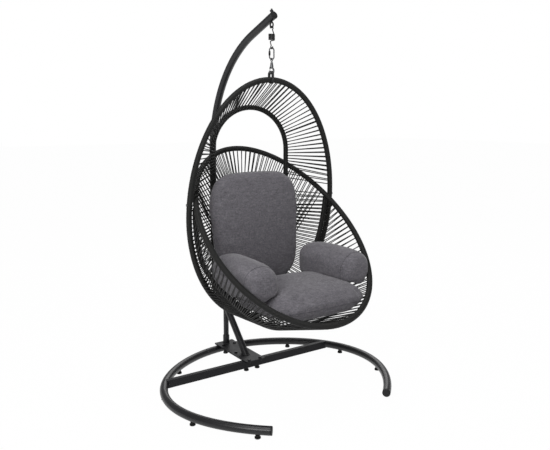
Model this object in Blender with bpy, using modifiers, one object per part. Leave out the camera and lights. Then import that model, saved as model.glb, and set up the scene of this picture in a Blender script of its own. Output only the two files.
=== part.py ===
"""Hanging egg chair: a corded basket with four cushions, hung by a spring and a
snap hook from a hooked tube mast on an open ring base.

Metres, +Z up, the open front of the ring and of the basket towards -Y. Every y in
the constants is counted from the centre of the base ring. The whole chair hangs on
one empty, which moves it so that the middle of its bounding box lies over the origin.
"""

import math

import bmesh
import bpy
import numpy as np
from mathutils import Matrix, Vector
from mathutils.bvhtree import BVHTree

GAP = 0.0003
CENTRE_SHIFT_Y = -0.1193

# Base
RING_RADIUS = 0.585
RING_OVAL = -0.0195
RING_EGG = 0.017
RING_SQUARE = 0.016
RING_TUBE_R = 0.021
TUBE_WALL = 0.002
FOOT_HEIGHT = 0.0172
FOOT_R = 0.0125
RING_Z = FOOT_HEIGHT + GAP + RING_TUBE_R
RING_END_DEG = 37.8
RING_CHORDS = 30
RING_CHORD_DEG = (180.0 - RING_END_DEG) / RING_CHORDS
RING_JOINT_DEG = 180.0 - 3 * RING_CHORD_DEG
FOOT_DEGS = (43.9, 76.7, 108.0, 140.5)
SPIGOT_LENGTH = 0.045
CROSSBAR_Y = RING_RADIUS * 0.4677
CROSSBAR_DEPTH = 0.025
CROSSBAR_HEIGHT = 2 * RING_TUBE_R
CROSSBAR_JOINT_X = 0.048
CROSSBAR_FOOT_X = 0.036

# Plates and their bolts
PLATE_HALF_WIDTH = 0.060
PLATE_FRONT_Y = CROSSBAR_Y - 0.0446
PLATE_REAR_Y = RING_RADIUS * (1 + RING_OVAL - RING_EGG + RING_SQUARE) + 0.025
LOWER_PLATE = 0.003
UPPER_PLATE = 0.005
LOWER_PLATE_Z = RING_Z + RING_TUBE_R + GAP
UPPER_PLATE_Z = LOWER_PLATE_Z + LOWER_PLATE + GAP
PLATE_TOP_Z = UPPER_PLATE_Z + UPPER_PLATE
PLATE_BOLT_X = 0.036
PLATE_BOLT_YS = (
    PLATE_FRONT_Y + 0.014,
    (PLATE_FRONT_Y + PLATE_REAR_Y) / 2 - 0.0255,
    PLATE_REAR_Y - 0.067,
)
PLATE_BOLT_R = 0.005
PLATE_BOLT_HEAD_R = 0.0092
PLATE_BOLT_HEAD = 0.0064
PLATE_NUT = 0.008

# Mast, as a path in the plane x = 0
MAST_R = 0.019
MAST_FOOT_Y = 0.3385
MAST_RISE_DEG = 46.0
MAST_SLANT = 0.348
MAST_LOW_BEND_R = 0.45
MAST_JOINT_Z = 0.93
MAST_TOP_BEND_Z = 1.20
MAST_TOP_BEND_R = 0.70
MAST_TOP_TURN_DEG = 69.5
MAST_END_RUN = 0.2177
SPIGOT_R = MAST_R - TUBE_WALL - GAP
STRUT_Y = PLATE_REAR_Y - 0.034
STRUT_R = 0.014
STRUT_COLLAR_R = 0.020
STRUT_COLLAR_HEIGHT = 0.050

# Suspension, all on the vertical line x = 0, y = HANG_Y
HANG_Y = 0.0655
EYE_WIRE_R = 0.004
EYE_R = 0.013
EYE_Z = 1.886
EYE_BOLT_TOP_Z = EYE_Z + 0.081
EYE_NUT_Z = EYE_Z + 0.0655
EYE_NUT_HEIGHT = 0.008
BOLT_HOLE_PLAY = 0.0004
SPRING_WIRE_R = 0.0024
SPRING_R = 0.0145
SPRING_TURNS = 6.0
SPRING_TOP_Z = 1.842
SPRING_BOTTOM_Z = 1.811
HOOK_R = 0.0085
LINK_Z = 1.7433
LINK_WIRE_R = 0.003
LINK_HALF_WIDTH = 0.0135
LINK_HALF_HEIGHT = 0.0295
LINK_GAP = 0.008
SLEEVE_LENGTH = 0.022
SLEEVE_R = 0.0058
SWIVEL_WIRE_R = 0.0025
SWIVEL_R = 0.008
HOOK_BODY_R = 0.0085
SNAP_BOTTOM_Z = 1.6420
SNAP_WIRE_R = 0.0038
SNAP_HALF_WIDTH = 0.0115
LOOP_WIRE_R = 0.003
LOOP_X = 0.0040

# Egg: hoop A in front, hoop B behind, rim C tilted, rib D below the rim
HOOP_R = 0.013
REAR_HOOP_R = 0.012
RIB_R = 0.012
EGG_MID_Z = 0.9477
EGG_HALF_WIDTH = 0.4434
EGG_TOP_RISE = 0.6634
EGG_BOTTOM_DROP = 0.6084
EGG_TOP_Y = 0.0725
EGG_LEAN = -0.10
REAR_Y = 0.275
REAR_HALF_WIDTH = 0.234
REAR_TOP_Z = 1.473
REAR_BOTTOM_Z = 0.351
RIM_FRONT_Y = -0.474
RIM_FRONT_Z = 0.4633
RIM_HALF_LENGTH = 0.598
RIM_EGG = 0.05
RIM_TILT_DEG = 40.8
RIM_INSET = 2 * HOOP_R + 0.0097
RIM_UP = math.sin(math.radians(RIM_TILT_DEG))
RIM_BACK = math.cos(math.radians(RIM_TILT_DEG))

# Where the rim meets the plane of hoop A: length along the slope, angle, height, width
RIM_TOP_DROP = RIM_FRONT_Z - EGG_MID_Z - EGG_TOP_RISE
CROSS_REACH = (EGG_TOP_Y + EGG_LEAN * RIM_TOP_DROP - RIM_FRONT_Y) / (RIM_BACK - EGG_LEAN * RIM_UP)
RIM_CROSS = math.acos(1 - CROSS_REACH / RIM_HALF_LENGTH)
CROSS_Z = RIM_FRONT_Z + CROSS_REACH * RIM_UP
CROSS_X = EGG_HALF_WIDTH * math.sqrt(1 - ((CROSS_Z - EGG_MID_Z) / EGG_TOP_RISE) ** 2)
RIM_SWELL = 1 + RIM_EGG * math.cos(RIM_CROSS)
RIM_HALF_WIDTH = (CROSS_X - RIM_INSET) / (math.sin(RIM_CROSS) * RIM_SWELL)

RIB_HALF_WIDTH = EGG_HALF_WIDTH - 0.0321
RIB_TOP_Z = CROSS_Z - 0.0007
RIB_BOTTOM_Z = 0.343
RIB_END = 0.039
RIB_FORWARD = 0.275
RIB_FREE_Z = 0.702
RIM_BOLT_R = 0.003
RIM_BOLT_HEAD_R = 0.007

# Cords, as sheets of their own thickness
WEAVE = 0.004
CLEAR = 0.0012
CORD_SEAT = 0.0008
CANOPY_END_DEG = 77.0
CANOPY_END_ALONG = 0.457
LOWER_START_DEG = 92.0
LOWER_START_ALONG = 0.677
CANOPY_ROD_DEG = 47.0
CANOPY_ROD_R = 0.0035
BACK_WEAVE_X = 0.20
SHEET_STEPS = 48
EDGE_BAND = 0.13
LOOP_NOTCH_DEPTH = 0.024

# Cushions: middle, size
SEAT_CUSHION = ((0.0, -0.163, 0.538), (0.576, 0.496, 0.166))
BACK_CUSHION = ((-0.026, 0.186, 0.835), (0.545, 0.130, 0.610))
BOLSTER = ((0.278, -0.095, 0.650), (0.190, 0.410, 0.205))
BOLSTER_YAW_DEG = 3.0
SEAT_LIFT = 0.009
BOLSTER_LIFT = 0.004

SETTLE_REACH = 0.014
FREE_WAY = 0.20
SEAT_GAP = 0.0005
SETTLE_SIDES = ((0, 0), (1, 0), (-1, 0), (0, 1), (0, -1))

CHARCOAL = (0.035, 0.035, 0.037, 1.0)
GUNMETAL = (0.075, 0.077, 0.082, 1.0)
PLATE_GREY = (0.30, 0.31, 0.32, 1.0)
ZINC = (0.56, 0.57, 0.58, 1.0)
BLACK = (0.015, 0.015, 0.016, 1.0)
CORD_BLACK = (0.030, 0.031, 0.028, 1.0)
CLOTH_GREY = (0.075, 0.072, 0.080, 1.0)


def clear_scene():
    for obj in list(bpy.data.objects):
        bpy.data.objects.remove(obj, do_unlink=True)


def new_collection(name):
    made = bpy.data.collections.new(name)
    bpy.context.scene.collection.children.link(made)
    return made


clear_scene()
CHAIR = new_collection("hanging_egg_chair")
CUTTERS = new_collection("cutters")


def empty(name, at, parent=None):
    """A frame to hang pieces on; at is in the ring's frame."""
    made = bpy.data.objects.new(name, None)
    CHAIR.objects.link(made)
    made.parent = parent
    made["at"] = at
    made.location = Vector(at) - Vector(parent["at"]) if parent else Vector(at)
    return made


def material(name, colour, roughness, metallic):
    made = bpy.data.materials.new(name)
    made.use_nodes = True
    shader = made.node_tree.nodes["Principled BSDF"]
    shader.inputs["Base Color"].default_value = colour
    shader.inputs["Roughness"].default_value = roughness
    shader.inputs["Metallic"].default_value = metallic
    made.diffuse_color = colour
    return made


def add_piece(name, mesh, look, frame, origin=(0.0, 0.0, 0.0), smooth=True):
    """An object whose own origin is at origin; its mesh is given in the ring's frame."""
    mesh.name = name
    mesh.transform(Matrix.Translation(-Vector(origin)))
    obj = bpy.data.objects.new(name, mesh)
    CHAIR.objects.link(obj)
    obj.parent = frame
    obj.location = Vector(origin) - Vector(frame["at"])
    mesh.materials.clear()
    mesh.materials.append(material(name + "_look", *look))
    if smooth:
        mesh.shade_smooth()
        mesh.set_sharp_from_angle(angle=math.radians(40))
    return obj


def mesh_of(curve_object):
    """The welded mesh of a curve object, which is then removed."""
    bpy.context.view_layer.update()
    graph = bpy.context.evaluated_depsgraph_get()
    mesh = bpy.data.meshes.new_from_object(curve_object.evaluated_get(graph))
    bpy.data.objects.remove(curve_object, do_unlink=True)
    work = bmesh.new()
    work.from_mesh(mesh)
    bmesh.ops.remove_doubles(work, verts=work.verts, dist=1e-6)
    bmesh.ops.recalc_face_normals(work, faces=work.faces)
    work.to_mesh(mesh)
    work.free()
    return mesh


def rod_mesh(points, radius, closed=False, sides=8, caps=True):
    """A round rod or tube skin along the points."""
    curve = bpy.data.curves.new("path", "CURVE")
    curve.dimensions = "3D"
    curve.bevel_depth = radius
    curve.bevel_resolution = (sides - 4) // 2
    curve.use_fill_caps = caps and not closed
    spline = curve.splines.new("POLY")
    spline.points.add(len(points) - 1)
    for slot, point in zip(spline.points, points):
        slot.co = (*point, 1.0)
    spline.use_cyclic_u = closed
    holder = bpy.data.objects.new("path", curve)
    bpy.context.scene.collection.objects.link(holder)
    return mesh_of(holder)


def add_rod(name, points, radius, look, frame, origin=(0.0, 0.0, 0.0), closed=False, sides=8):
    return add_piece(name, rod_mesh(points, radius, closed, sides), look, frame, origin)


def add_tube(name, points, radius, look, frame, sides=12):
    """A tube with open ends and a wall of TUBE_WALL."""
    obj = add_piece(name, rod_mesh(points, radius, sides=sides, caps=False), look, frame)
    wall = obj.modifiers.new("wall", "SOLIDIFY")
    wall.thickness = TUBE_WALL
    wall.offset = -1.0
    wall.use_even_offset = True
    return obj


def join_meshes(meshes):
    """One mesh that holds all of these loose shapes."""
    work = bmesh.new()
    for mesh in meshes:
        work.from_mesh(mesh)
    merged = bpy.data.meshes.new("merged")
    work.to_mesh(merged)
    work.free()
    return merged


def cylinder_mesh(radius, bottom, top, x=0.0, y=0.0, sides=12, top_radius=None, turn=0.0):
    work = bmesh.new()
    bmesh.ops.create_cone(
        work, cap_ends=True, segments=sides, radius1=radius,
        radius2=radius if top_radius is None else top_radius, depth=top - bottom,
    )
    bmesh.ops.rotate(work, verts=work.verts, matrix=Matrix.Rotation(turn, 3, "Z"))
    bmesh.ops.translate(work, verts=work.verts, vec=(x, y, (bottom + top) / 2))
    mesh = bpy.data.meshes.new("cylinder")
    work.to_mesh(mesh)
    work.free()
    return mesh


def box_mesh(low, high):
    work = bmesh.new()
    bmesh.ops.create_cube(work, size=1.0)
    size = Vector(high) - Vector(low)
    bmesh.ops.scale(work, verts=work.verts, vec=size)
    bmesh.ops.translate(work, verts=work.verts, vec=(Vector(high) + Vector(low)) / 2)
    mesh = bpy.data.meshes.new("box")
    work.to_mesh(mesh)
    work.free()
    return mesh


def cutter(name, mesh):
    obj = bpy.data.objects.new(name, mesh)
    CUTTERS.objects.link(obj)
    obj.hide_render = True
    obj.display_type = "WIRE"
    obj.location = (0.0, CENTRE_SHIFT_Y, 0.0)
    return obj


def apply_boolean(obj, other, operation="DIFFERENCE"):
    step = obj.modifiers.new(operation.lower(), "BOOLEAN")
    step.operation = operation
    step.object = other
    step.solver = "EXACT"
    return step


def bevelled(obj, width, segments=2):
    edge = obj.modifiers.new("edge", "BEVEL")
    edge.width = width
    edge.segments = segments
    edge.limit_method = "ANGLE"
    return obj


# ---------------------------------------------------------------- paths


def ring_point(degrees, z=RING_Z):
    """A point of the ring's middle line; the angle runs from the front towards +x."""
    angle = math.radians(degrees)
    swell = RING_OVAL * math.cos(2 * angle) + RING_EGG * math.cos(3 * angle)
    radius = RING_RADIUS * (1 + swell + RING_SQUARE * math.cos(4 * angle))
    return (radius * math.sin(angle), -radius * math.cos(angle), z)


def ring_reach(y):
    """Half the ring's width, on its middle line, at this y behind its middle."""
    low, high = 90.0, 180.0
    for _ in range(40):
        middle = (low + high) / 2
        low, high = (middle, high) if ring_point(middle)[1] < y else (low, middle)
    return ring_point(low)[0]


def on_ring(degrees):
    """A point of the chain of chords that every ring piece follows, its joints in mid chord."""
    chord = (180.0 - abs(degrees)) / RING_CHORD_DEG + 0.5
    share = chord - math.floor(chord)
    side = math.copysign(1.0, degrees)
    near = ring_point(side * (180.0 - (math.floor(chord) - 0.5) * RING_CHORD_DEG))
    far = ring_point(side * (180.0 - (math.floor(chord) + 0.5) * RING_CHORD_DEG))
    return tuple(Vector(near).lerp(Vector(far), share))


def ring_side(start, end, side):
    """The chain from start to end, both counted from the front, on one side of the ring."""
    corners = [180.0 - (i + 0.5) * RING_CHORD_DEG for i in range(RING_CHORDS + 3)]
    inner = sorted(a for a in corners if start + 0.01 < a < end - 0.01)
    return [on_ring(side * a) for a in [start] + inner + [end]]


def turtle(y, z, heading, moves):
    """Points in the plane x = 0 after lines (length,) and bends (radius, turn, steps)."""
    points = [(0.0, y, z)]
    for move in moves:
        if len(move) == 1:
            y += move[0] * math.cos(heading)
            z += move[0] * math.sin(heading)
            points.append((0.0, y, z))
            continue
        radius, turn, steps = move
        chord = 2 * radius * math.sin(abs(turn) / steps / 2)
        for _ in range(steps):
            heading += turn / steps / 2
            y += chord * math.cos(heading)
            z += chord * math.sin(heading)
            heading += turn / steps / 2
            points.append((0.0, y, z))
    return points


def mast_low_path():
    rise = math.radians(MAST_RISE_DEG)
    bend = (MAST_LOW_BEND_R, math.pi / 2 - rise, 10)
    points = turtle(MAST_FOOT_Y, PLATE_TOP_Z + GAP, rise, [(MAST_SLANT,), bend])
    return points + [(0.0, points[-1][1], MAST_JOINT_Z)]


def mast_high_path():
    y = mast_low_path()[-1][1]
    straight = MAST_TOP_BEND_Z - MAST_JOINT_Z - GAP
    bend = (MAST_TOP_BEND_R, math.radians(MAST_TOP_TURN_DEG), 16)
    return turtle(y, MAST_JOINT_Z + GAP, math.pi / 2, [(straight,), bend, (MAST_END_RUN,)])


def egg_y(z):
    return EGG_TOP_Y + EGG_LEAN * (z - EGG_MID_Z - EGG_TOP_RISE)


def egg_point(angle):
    """Hoop A; the angle runs from the top towards +x."""
    reach = EGG_TOP_RISE if math.cos(angle) > 0 else EGG_BOTTOM_DROP
    z = EGG_MID_Z + reach * math.cos(angle)
    return Vector((EGG_HALF_WIDTH * math.sin(angle), egg_y(z), z))


def rear_point(along):
    """Hoop B, a stadium; along is the length from its top, positive towards +x."""
    side = math.copysign(1.0, along)
    left = abs(along)
    radius = REAR_HALF_WIDTH
    quarter = radius * math.pi / 2
    high = REAR_TOP_Z - radius
    low = REAR_BOTTOM_Z + radius
    if left <= quarter:
        turn = left / radius
        return Vector((side * radius * math.sin(turn), REAR_Y, high + radius * math.cos(turn)))
    left -= quarter
    if left <= high - low:
        return Vector((side * radius, REAR_Y, high - left))
    turn = (left - (high - low)) / radius
    return Vector((side * radius * math.cos(turn), REAR_Y, low - radius * math.sin(turn)))


def rear_half_length():
    return REAR_HALF_WIDTH * math.pi + (REAR_TOP_Z - REAR_BOTTOM_Z - 2 * REAR_HALF_WIDTH)


def rim_point(angle):
    """Rim C; the angle runs from its front, its lowest point, towards +x."""
    along = RIM_HALF_LENGTH * (1 - math.cos(angle))
    x = RIM_HALF_WIDTH * math.sin(angle) * (1 + RIM_EGG * math.cos(angle))
    return Vector((x, RIM_FRONT_Y + along * RIM_BACK, RIM_FRONT_Z + along * RIM_UP))


def smoothstep(share):
    share = min(max(share, 0.0), 1.0)
    return share * share * (3 - 2 * share)


def rib_point(angle):
    """Rib D; the angle runs from its lowest point towards +x and ends at pi / 2."""
    z = RIB_TOP_Z - (RIB_TOP_Z - RIB_BOTTOM_Z) * math.cos(angle)
    forward = RIB_FORWARD * smoothstep((RIB_FREE_Z - z) / (RIB_FREE_Z - RIB_BOTTOM_Z))
    return Vector((RIB_HALF_WIDTH * math.sin(angle), egg_y(z) - forward, z))


def rib_outward(angle):
    """The direction that points out of the bowl at the rib, in its own plane across y."""
    out = Vector((math.sin(angle) / RIB_HALF_WIDTH, 0.0, -math.cos(angle) / (RIB_TOP_Z - RIB_BOTTOM_Z)))
    return out.normalized()


def shortened(start, end, first, last):
    """The two ends, moved towards each other by these lengths."""
    way = (end - start).normalized()
    return start + way * first, end - way * last


# ---------------------------------------------------------------- base


def build_base(root):
    steel = (GUNMETAL, 0.35, 0.6)
    base = empty("base", (0.0, 0.0, 0.0), root)
    for side, name in ((1, "ring_right"), (-1, "ring_left")):
        arc = ring_side(RING_END_DEG, RING_JOINT_DEG, side)
        add_tube(name, arc, RING_TUBE_R, steel, base)
    add_ring_rear(base, steel)
    for side, name in ((1, "right"), (-1, "left")):
        add_crossbar(name, side, base, steel)
        add_ring_cap("ring_cap_" + name, side, base)
    add_crossbar_middle(base, steel)
    add_feet(base)
    add_plates(base)


def add_ring_rear(base, steel):
    """The rear segment, with a spigot that enters each side arc."""
    spigot = RING_JOINT_DEG - math.degrees(SPIGOT_LENGTH / RING_RADIUS)
    body_end = RING_JOINT_DEG + math.degrees(GAP / RING_RADIUS)
    body = rod_mesh(across_rear(body_end), RING_TUBE_R, sides=12)
    core = rod_mesh(across_rear(spigot), spigot_radius(), sides=12)
    obj = add_piece("ring_rear", body, steel, base)
    apply_boolean(obj, cutter("ring_rear_spigots", core), "UNION")


def across_rear(start):
    """The chain from start on the right, round the back, to the same place on the left."""
    right = ring_side(start, 180.0 - RING_CHORD_DEG / 2, 1)
    left = ring_side(start, 180.0 - RING_CHORD_DEG / 2, -1)
    return right + left[::-1]


def spigot_radius():
    return (RING_TUBE_R - TUBE_WALL) * math.cos(math.pi / 12) - 2 * GAP


def add_crossbar(name, side, base, steel):
    """A box tube from the middle stub to the ring, its end saddled round the ring."""
    low_z = RING_Z - CROSSBAR_HEIGHT / 2
    high_z = RING_Z + CROSSBAR_HEIGHT / 2
    near, far = CROSSBAR_JOINT_X, ring_reach(CROSSBAR_Y) + 0.02
    front, rear = CROSSBAR_Y - CROSSBAR_DEPTH / 2, CROSSBAR_Y + CROSSBAR_DEPTH / 2
    low_x, high_x = sorted((side * near, side * far))
    obj = add_piece("crossbar_" + name, box_mesh((low_x, front, low_z), (high_x, rear, high_z)),
                    steel, base, smooth=False)
    arc = ring_side(100.0, 135.0, side)
    saddle = rod_mesh(arc, RING_TUBE_R / math.cos(math.pi / 12) + GAP, sides=12)
    apply_boolean(obj, cutter("saddle_" + name, saddle))
    apply_boolean(obj, cutter("beyond_ring_" + name, beyond_ring(side)))
    hollow = box_mesh((low_x - 0.01, front + TUBE_WALL, low_z + TUBE_WALL),
                      (high_x + 0.01, rear - TUBE_WALL, high_z - TUBE_WALL))
    apply_boolean(obj, cutter("hollow_" + name, hollow))
    bevelled(obj, 0.002)


def beyond_ring(side):
    """A block that takes away the box tube's end outside the ring's middle line."""
    near = ring_reach(CROSSBAR_Y) - 0.006
    low_x, high_x = sorted((side * near, side * (near + 0.1)))
    return box_mesh((low_x, CROSSBAR_Y - 0.05, 0.0), (high_x, CROSSBAR_Y + 0.05, 0.1))


def add_crossbar_middle(base, steel):
    """The stub in the middle, with a spigot at each end."""
    half = CROSSBAR_JOINT_X - GAP
    low_z, high_z = RING_Z - CROSSBAR_HEIGHT / 2, RING_Z + CROSSBAR_HEIGHT / 2
    front, rear = CROSSBAR_Y - CROSSBAR_DEPTH / 2, CROSSBAR_Y + CROSSBAR_DEPTH / 2
    inset = TUBE_WALL + GAP
    body = box_mesh((-half, front, low_z), (half, rear, high_z))
    core = box_mesh((-half - SPIGOT_LENGTH, front + inset, low_z + inset),
                    (half + SPIGOT_LENGTH, rear - inset, high_z - inset))
    obj = add_piece("crossbar_middle", body, steel, base, smooth=False)
    apply_boolean(obj, cutter("crossbar_spigots", core), "UNION")


def add_ring_cap(name, side, base):
    """The plug in the open front end of the ring: a stem inside and a domed head outside."""
    end = Vector(on_ring(side * RING_END_DEG))
    way = (end - Vector(on_ring(side * (RING_END_DEG + 1.0)))).normalized()
    obj = add_piece(name, rod_mesh([end + way * GAP, end + way * 0.006], RING_TUBE_R, sides=16),
                    (BLACK, 0.7, 0.0), base)
    bevelled(obj, 0.002)
    stem = rod_mesh([end - way * 0.020, end + way * 0.002], spigot_radius(), sides=12)
    apply_boolean(obj, cutter(name + "_stem", stem), "UNION")


def add_feet(base):
    rubber = (BLACK, 0.8, 0.0)
    places = [ring_point(180.0)]
    for degrees in FOOT_DEGS:
        places += [ring_point(degrees), ring_point(-degrees)]
    names = ["foot_rear"]
    for i in range(len(FOOT_DEGS)):
        names += [f"foot_right_{i + 1}", f"foot_left_{i + 1}"]
    for side, name in ((1, "right"), (-1, "left")):
        places.append((side * CROSSBAR_FOOT_X, CROSSBAR_Y, 0.0))
        names.append("foot_crossbar_" + name)
    for name, place in zip(names, places):
        foot = cylinder_mesh(FOOT_R, 0.0, FOOT_HEIGHT, place[0], place[1], top_radius=FOOT_R * 0.8)
        add_piece(name, foot, rubber, base)


def plate_bolt_places():
    return [(side * PLATE_BOLT_X, y) for y in PLATE_BOLT_YS for side in (-1, 1)]


def add_plates(base):
    grey = (PLATE_GREY, 0.25, 0.8)
    hole_r = PLATE_BOLT_R + BOLT_HOLE_PLAY
    lower_low = (-PLATE_HALF_WIDTH, PLATE_FRONT_Y, LOWER_PLATE_Z)
    lower_high = (PLATE_HALF_WIDTH, PLATE_REAR_Y, LOWER_PLATE_Z + LOWER_PLATE)
    upper_low = (-PLATE_HALF_WIDTH, PLATE_FRONT_Y, UPPER_PLATE_Z)
    upper_high = (PLATE_HALF_WIDTH, PLATE_REAR_Y, PLATE_TOP_Z)
    lower = add_piece("base_plate", box_mesh(lower_low, lower_high), grey, base, smooth=False)
    upper = add_piece("mast_foot_plate", box_mesh(upper_low, upper_high), grey, base, smooth=False)
    nuts = []
    holes = []
    for x, y in plate_bolt_places():
        nuts.append(cylinder_mesh(PLATE_BOLT_HEAD_R, LOWER_PLATE_Z - PLATE_NUT,
                                  LOWER_PLATE_Z + LOWER_PLATE / 2, x, y, sides=6))
        holes.append(cylinder_mesh(hole_r, 0.0, 0.1, x, y))
    apply_boolean(lower, cutter("weld_nuts", join_meshes(nuts)), "UNION")
    hole_cutter = cutter("plate_bolt_holes", join_meshes(holes))
    apply_boolean(lower, hole_cutter)
    apply_boolean(upper, hole_cutter)
    for i, (x, y) in enumerate(plate_bolt_places()):
        add_plate_bolt(f"plate_bolt_{i + 1}", x, y, base)


def add_plate_bolt(name, x, y, base):
    """A hex bolt: head on the plate, shank down through both plates and the weld nut."""
    seat = PLATE_TOP_Z + GAP
    head = cylinder_mesh(PLATE_BOLT_HEAD_R, seat, seat + PLATE_BOLT_HEAD, x, y, sides=6, turn=0.4)
    shank = cylinder_mesh(PLATE_BOLT_R, LOWER_PLATE_Z - PLATE_NUT - 0.003, seat + 0.001, x, y)
    obj = add_piece(name, head, (ZINC, 0.3, 0.9), base, smooth=False)
    apply_boolean(obj, cutter(name + "_shank", shank), "UNION")


# ---------------------------------------------------------------- mast


def build_mast(root):
    steel = (GUNMETAL, 0.35, 0.6)
    mast = empty("mast", (0.0, 0.0, 0.0), root)
    add_mast_low(mast, steel)
    add_mast_high(mast, steel)
    add_strut(mast, steel)
    add_mast_cap(mast)
    add_eye_bolt(mast)


def add_mast_low(mast, steel):
    """The slanting tube; its top is drawn in to a spigot for the upper tube."""
    path = mast_low_path()
    below = [(0.0, path[0][1] - 0.05, path[0][2] - 0.05 * math.tan(math.radians(MAST_RISE_DEG)))]
    obj = add_piece("mast_low", rod_mesh(below + path, MAST_R, sides=12), steel, mast)
    top = Vector(path[-1])
    spigot = cylinder_mesh(SPIGOT_R * 0.96, top.z - 0.01, top.z + 0.09, 0.0, top.y)
    apply_boolean(obj, cutter("mast_spigot", spigot), "UNION")
    floor = box_mesh((-0.1, MAST_FOOT_Y - 0.2, -0.1), (0.1, MAST_FOOT_Y + 0.1, PLATE_TOP_Z + GAP))
    apply_boolean(obj, cutter("plate_level", floor))
    above = (0.0, top.y, top.z + 0.15)
    bore = rod_mesh(below + path + [above], MAST_R - 2 * TUBE_WALL, sides=10)
    apply_boolean(obj, cutter("mast_low_bore", bore))


def add_mast_high(mast, steel):
    obj = add_tube("mast_high", mast_high_path(), MAST_R, steel, mast)
    hole = cylinder_mesh(PLATE_BOLT_R + BOLT_HOLE_PLAY, EYE_Z, EYE_BOLT_TOP_Z, 0.0, HANG_Y)
    apply_boolean(obj, cutter("eye_bolt_hole", hole))
    joint_y = mast_low_path()[-1][1]
    screw_z = MAST_JOINT_Z + 0.04
    across = cylinder_mesh(0.0036, -0.05, 0.0, 0.0, 0.0, sides=10)
    across.transform(turned_to_y(joint_y, screw_z))
    screw_hole = cutter("mast_screw_hole", across)
    apply_boolean(obj, screw_hole)
    apply_boolean(bpy.data.objects["mast_low"], screw_hole)
    add_mast_screw(mast, joint_y, screw_z)


def turned_to_y(y, z):
    """Turns a shape on +z onto +y, and puts its origin at (0, y, z)."""
    return Matrix.Translation((0.0, y, z)) @ Matrix.Rotation(math.radians(90), 4, "X")


def add_mast_screw(mast, joint_y, screw_z):
    """The screw that locks the two mast tubes, entering from behind."""
    head = cylinder_mesh(0.0075, -MAST_R - GAP - 0.004, -MAST_R - GAP, sides=12, top_radius=0.0065)
    shank = cylinder_mesh(0.0032, -MAST_R - 0.002, -MAST_R + 0.006, sides=10)
    head.transform(turned_to_y(joint_y, screw_z))
    shank.transform(turned_to_y(joint_y, screw_z))
    obj = add_piece("mast_screw", head, (ZINC, 0.3, 0.9), mast)
    apply_boolean(obj, cutter("mast_screw_shank", shank), "UNION")


def add_strut(mast, steel):
    """The thin upright from the plate to the slanting tube, with a collar at its foot."""
    foot_z = PLATE_TOP_Z + GAP
    path = mast_low_path()
    middle_z = foot_z + (STRUT_Y - MAST_FOOT_Y) * math.tan(math.radians(MAST_RISE_DEG))
    tube = cylinder_mesh(STRUT_R, foot_z, middle_z + 0.05, 0.0, STRUT_Y)
    collar = cylinder_mesh(STRUT_COLLAR_R, foot_z, foot_z + STRUT_COLLAR_HEIGHT, 0.0, STRUT_Y)
    obj = add_piece("rear_strut", tube, steel, mast)
    apply_boolean(obj, cutter("strut_collar", collar), "UNION")
    saddle = rod_mesh(path[:-1], MAST_R / math.cos(math.pi / 12) + GAP, sides=12)
    apply_boolean(obj, cutter("strut_saddle", saddle))
    above = box_mesh((-0.1, STRUT_Y - 0.1, middle_z), (0.1, STRUT_Y + 0.1, middle_z + 0.2))
    apply_boolean(obj, cutter("above_mast", above))


def add_mast_cap(mast):
    end = Vector(mast_high_path()[-1])
    before = Vector(mast_high_path()[-2])
    way = (end - before).normalized()
    cap = rod_mesh([end + way * GAP, end + way * 0.005], MAST_R + 0.001, sides=16)
    stem_r = (MAST_R - TUBE_WALL) * math.cos(math.pi / 12) - 2 * GAP
    stem = rod_mesh([end - way * 0.006, end + way * 0.002], stem_r, sides=12)
    obj = add_piece("mast_cap", cap, (BLACK, 0.5, 0.0), mast)
    bevelled(obj, 0.0015)
    apply_boolean(obj, cutter("mast_cap_stem", stem), "UNION")


def circle_points(centre, radius, u, v, start=0.0, end=2 * math.pi, steps=24):
    """Points on an arc in the plane of the unit vectors u and v."""
    closed = abs(end - start) > 2 * math.pi - 1e-6
    count = steps if closed else steps + 1
    turns = [start + (end - start) * i / steps for i in range(count)]
    centre, u, v = Vector(centre), Vector(u), Vector(v)
    return [centre + u * radius * math.cos(t) + v * radius * math.sin(t) for t in turns]


X, Y, Z = (1.0, 0.0, 0.0), (0.0, 1.0, 0.0), (0.0, 0.0, 1.0)


def add_eye_bolt(mast):
    """The bolt down through the mast's end, with its eye below and a nut above."""
    ring = rod_mesh(circle_points((0.0, HANG_Y, EYE_Z), EYE_R, Y, Z), EYE_WIRE_R, closed=True)
    shank = cylinder_mesh(PLATE_BOLT_R, EYE_Z + EYE_R - 0.001, EYE_BOLT_TOP_Z, 0.0, HANG_Y)
    obj = add_piece("eye_bolt", shank, (BLACK, 0.4, 0.7), mast)
    apply_boolean(obj, cutter("eye_ring", ring), "UNION")
    nut_top = EYE_NUT_Z + EYE_NUT_HEIGHT
    nut = cylinder_mesh(PLATE_BOLT_HEAD_R, EYE_NUT_Z, nut_top, 0.0, HANG_Y, sides=6)
    nut_piece = add_piece("eye_nut", nut, (ZINC, 0.3, 0.9), mast, smooth=False)
    bore = cylinder_mesh(PLATE_BOLT_R + BOLT_HOLE_PLAY, EYE_Z, EYE_BOLT_TOP_Z, 0.0, HANG_Y)
    apply_boolean(nut_piece, cutter("eye_nut_bore", bore))


# ---------------------------------------------------------------- suspension


def hook_top_z():
    """Middle of the spring's upper hook wire, resting in the eye."""
    return EYE_Z - EYE_R + EYE_WIRE_R + SPRING_WIRE_R + GAP


def link_top_z():
    return LINK_Z + LINK_HALF_HEIGHT


def hook_bottom_z():
    """Middle of the spring's lower hook wire, carrying the link."""
    return link_top_z() - LINK_WIRE_R - SPRING_WIRE_R - GAP


def swivel_top_z():
    return LINK_Z - LINK_HALF_HEIGHT + LINK_WIRE_R + SWIVEL_WIRE_R + GAP


def swivel_z():
    return swivel_top_z() - SWIVEL_R


def snap_top_z():
    return swivel_z() - SWIVEL_R - SWIVEL_WIRE_R - 0.0015


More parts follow.
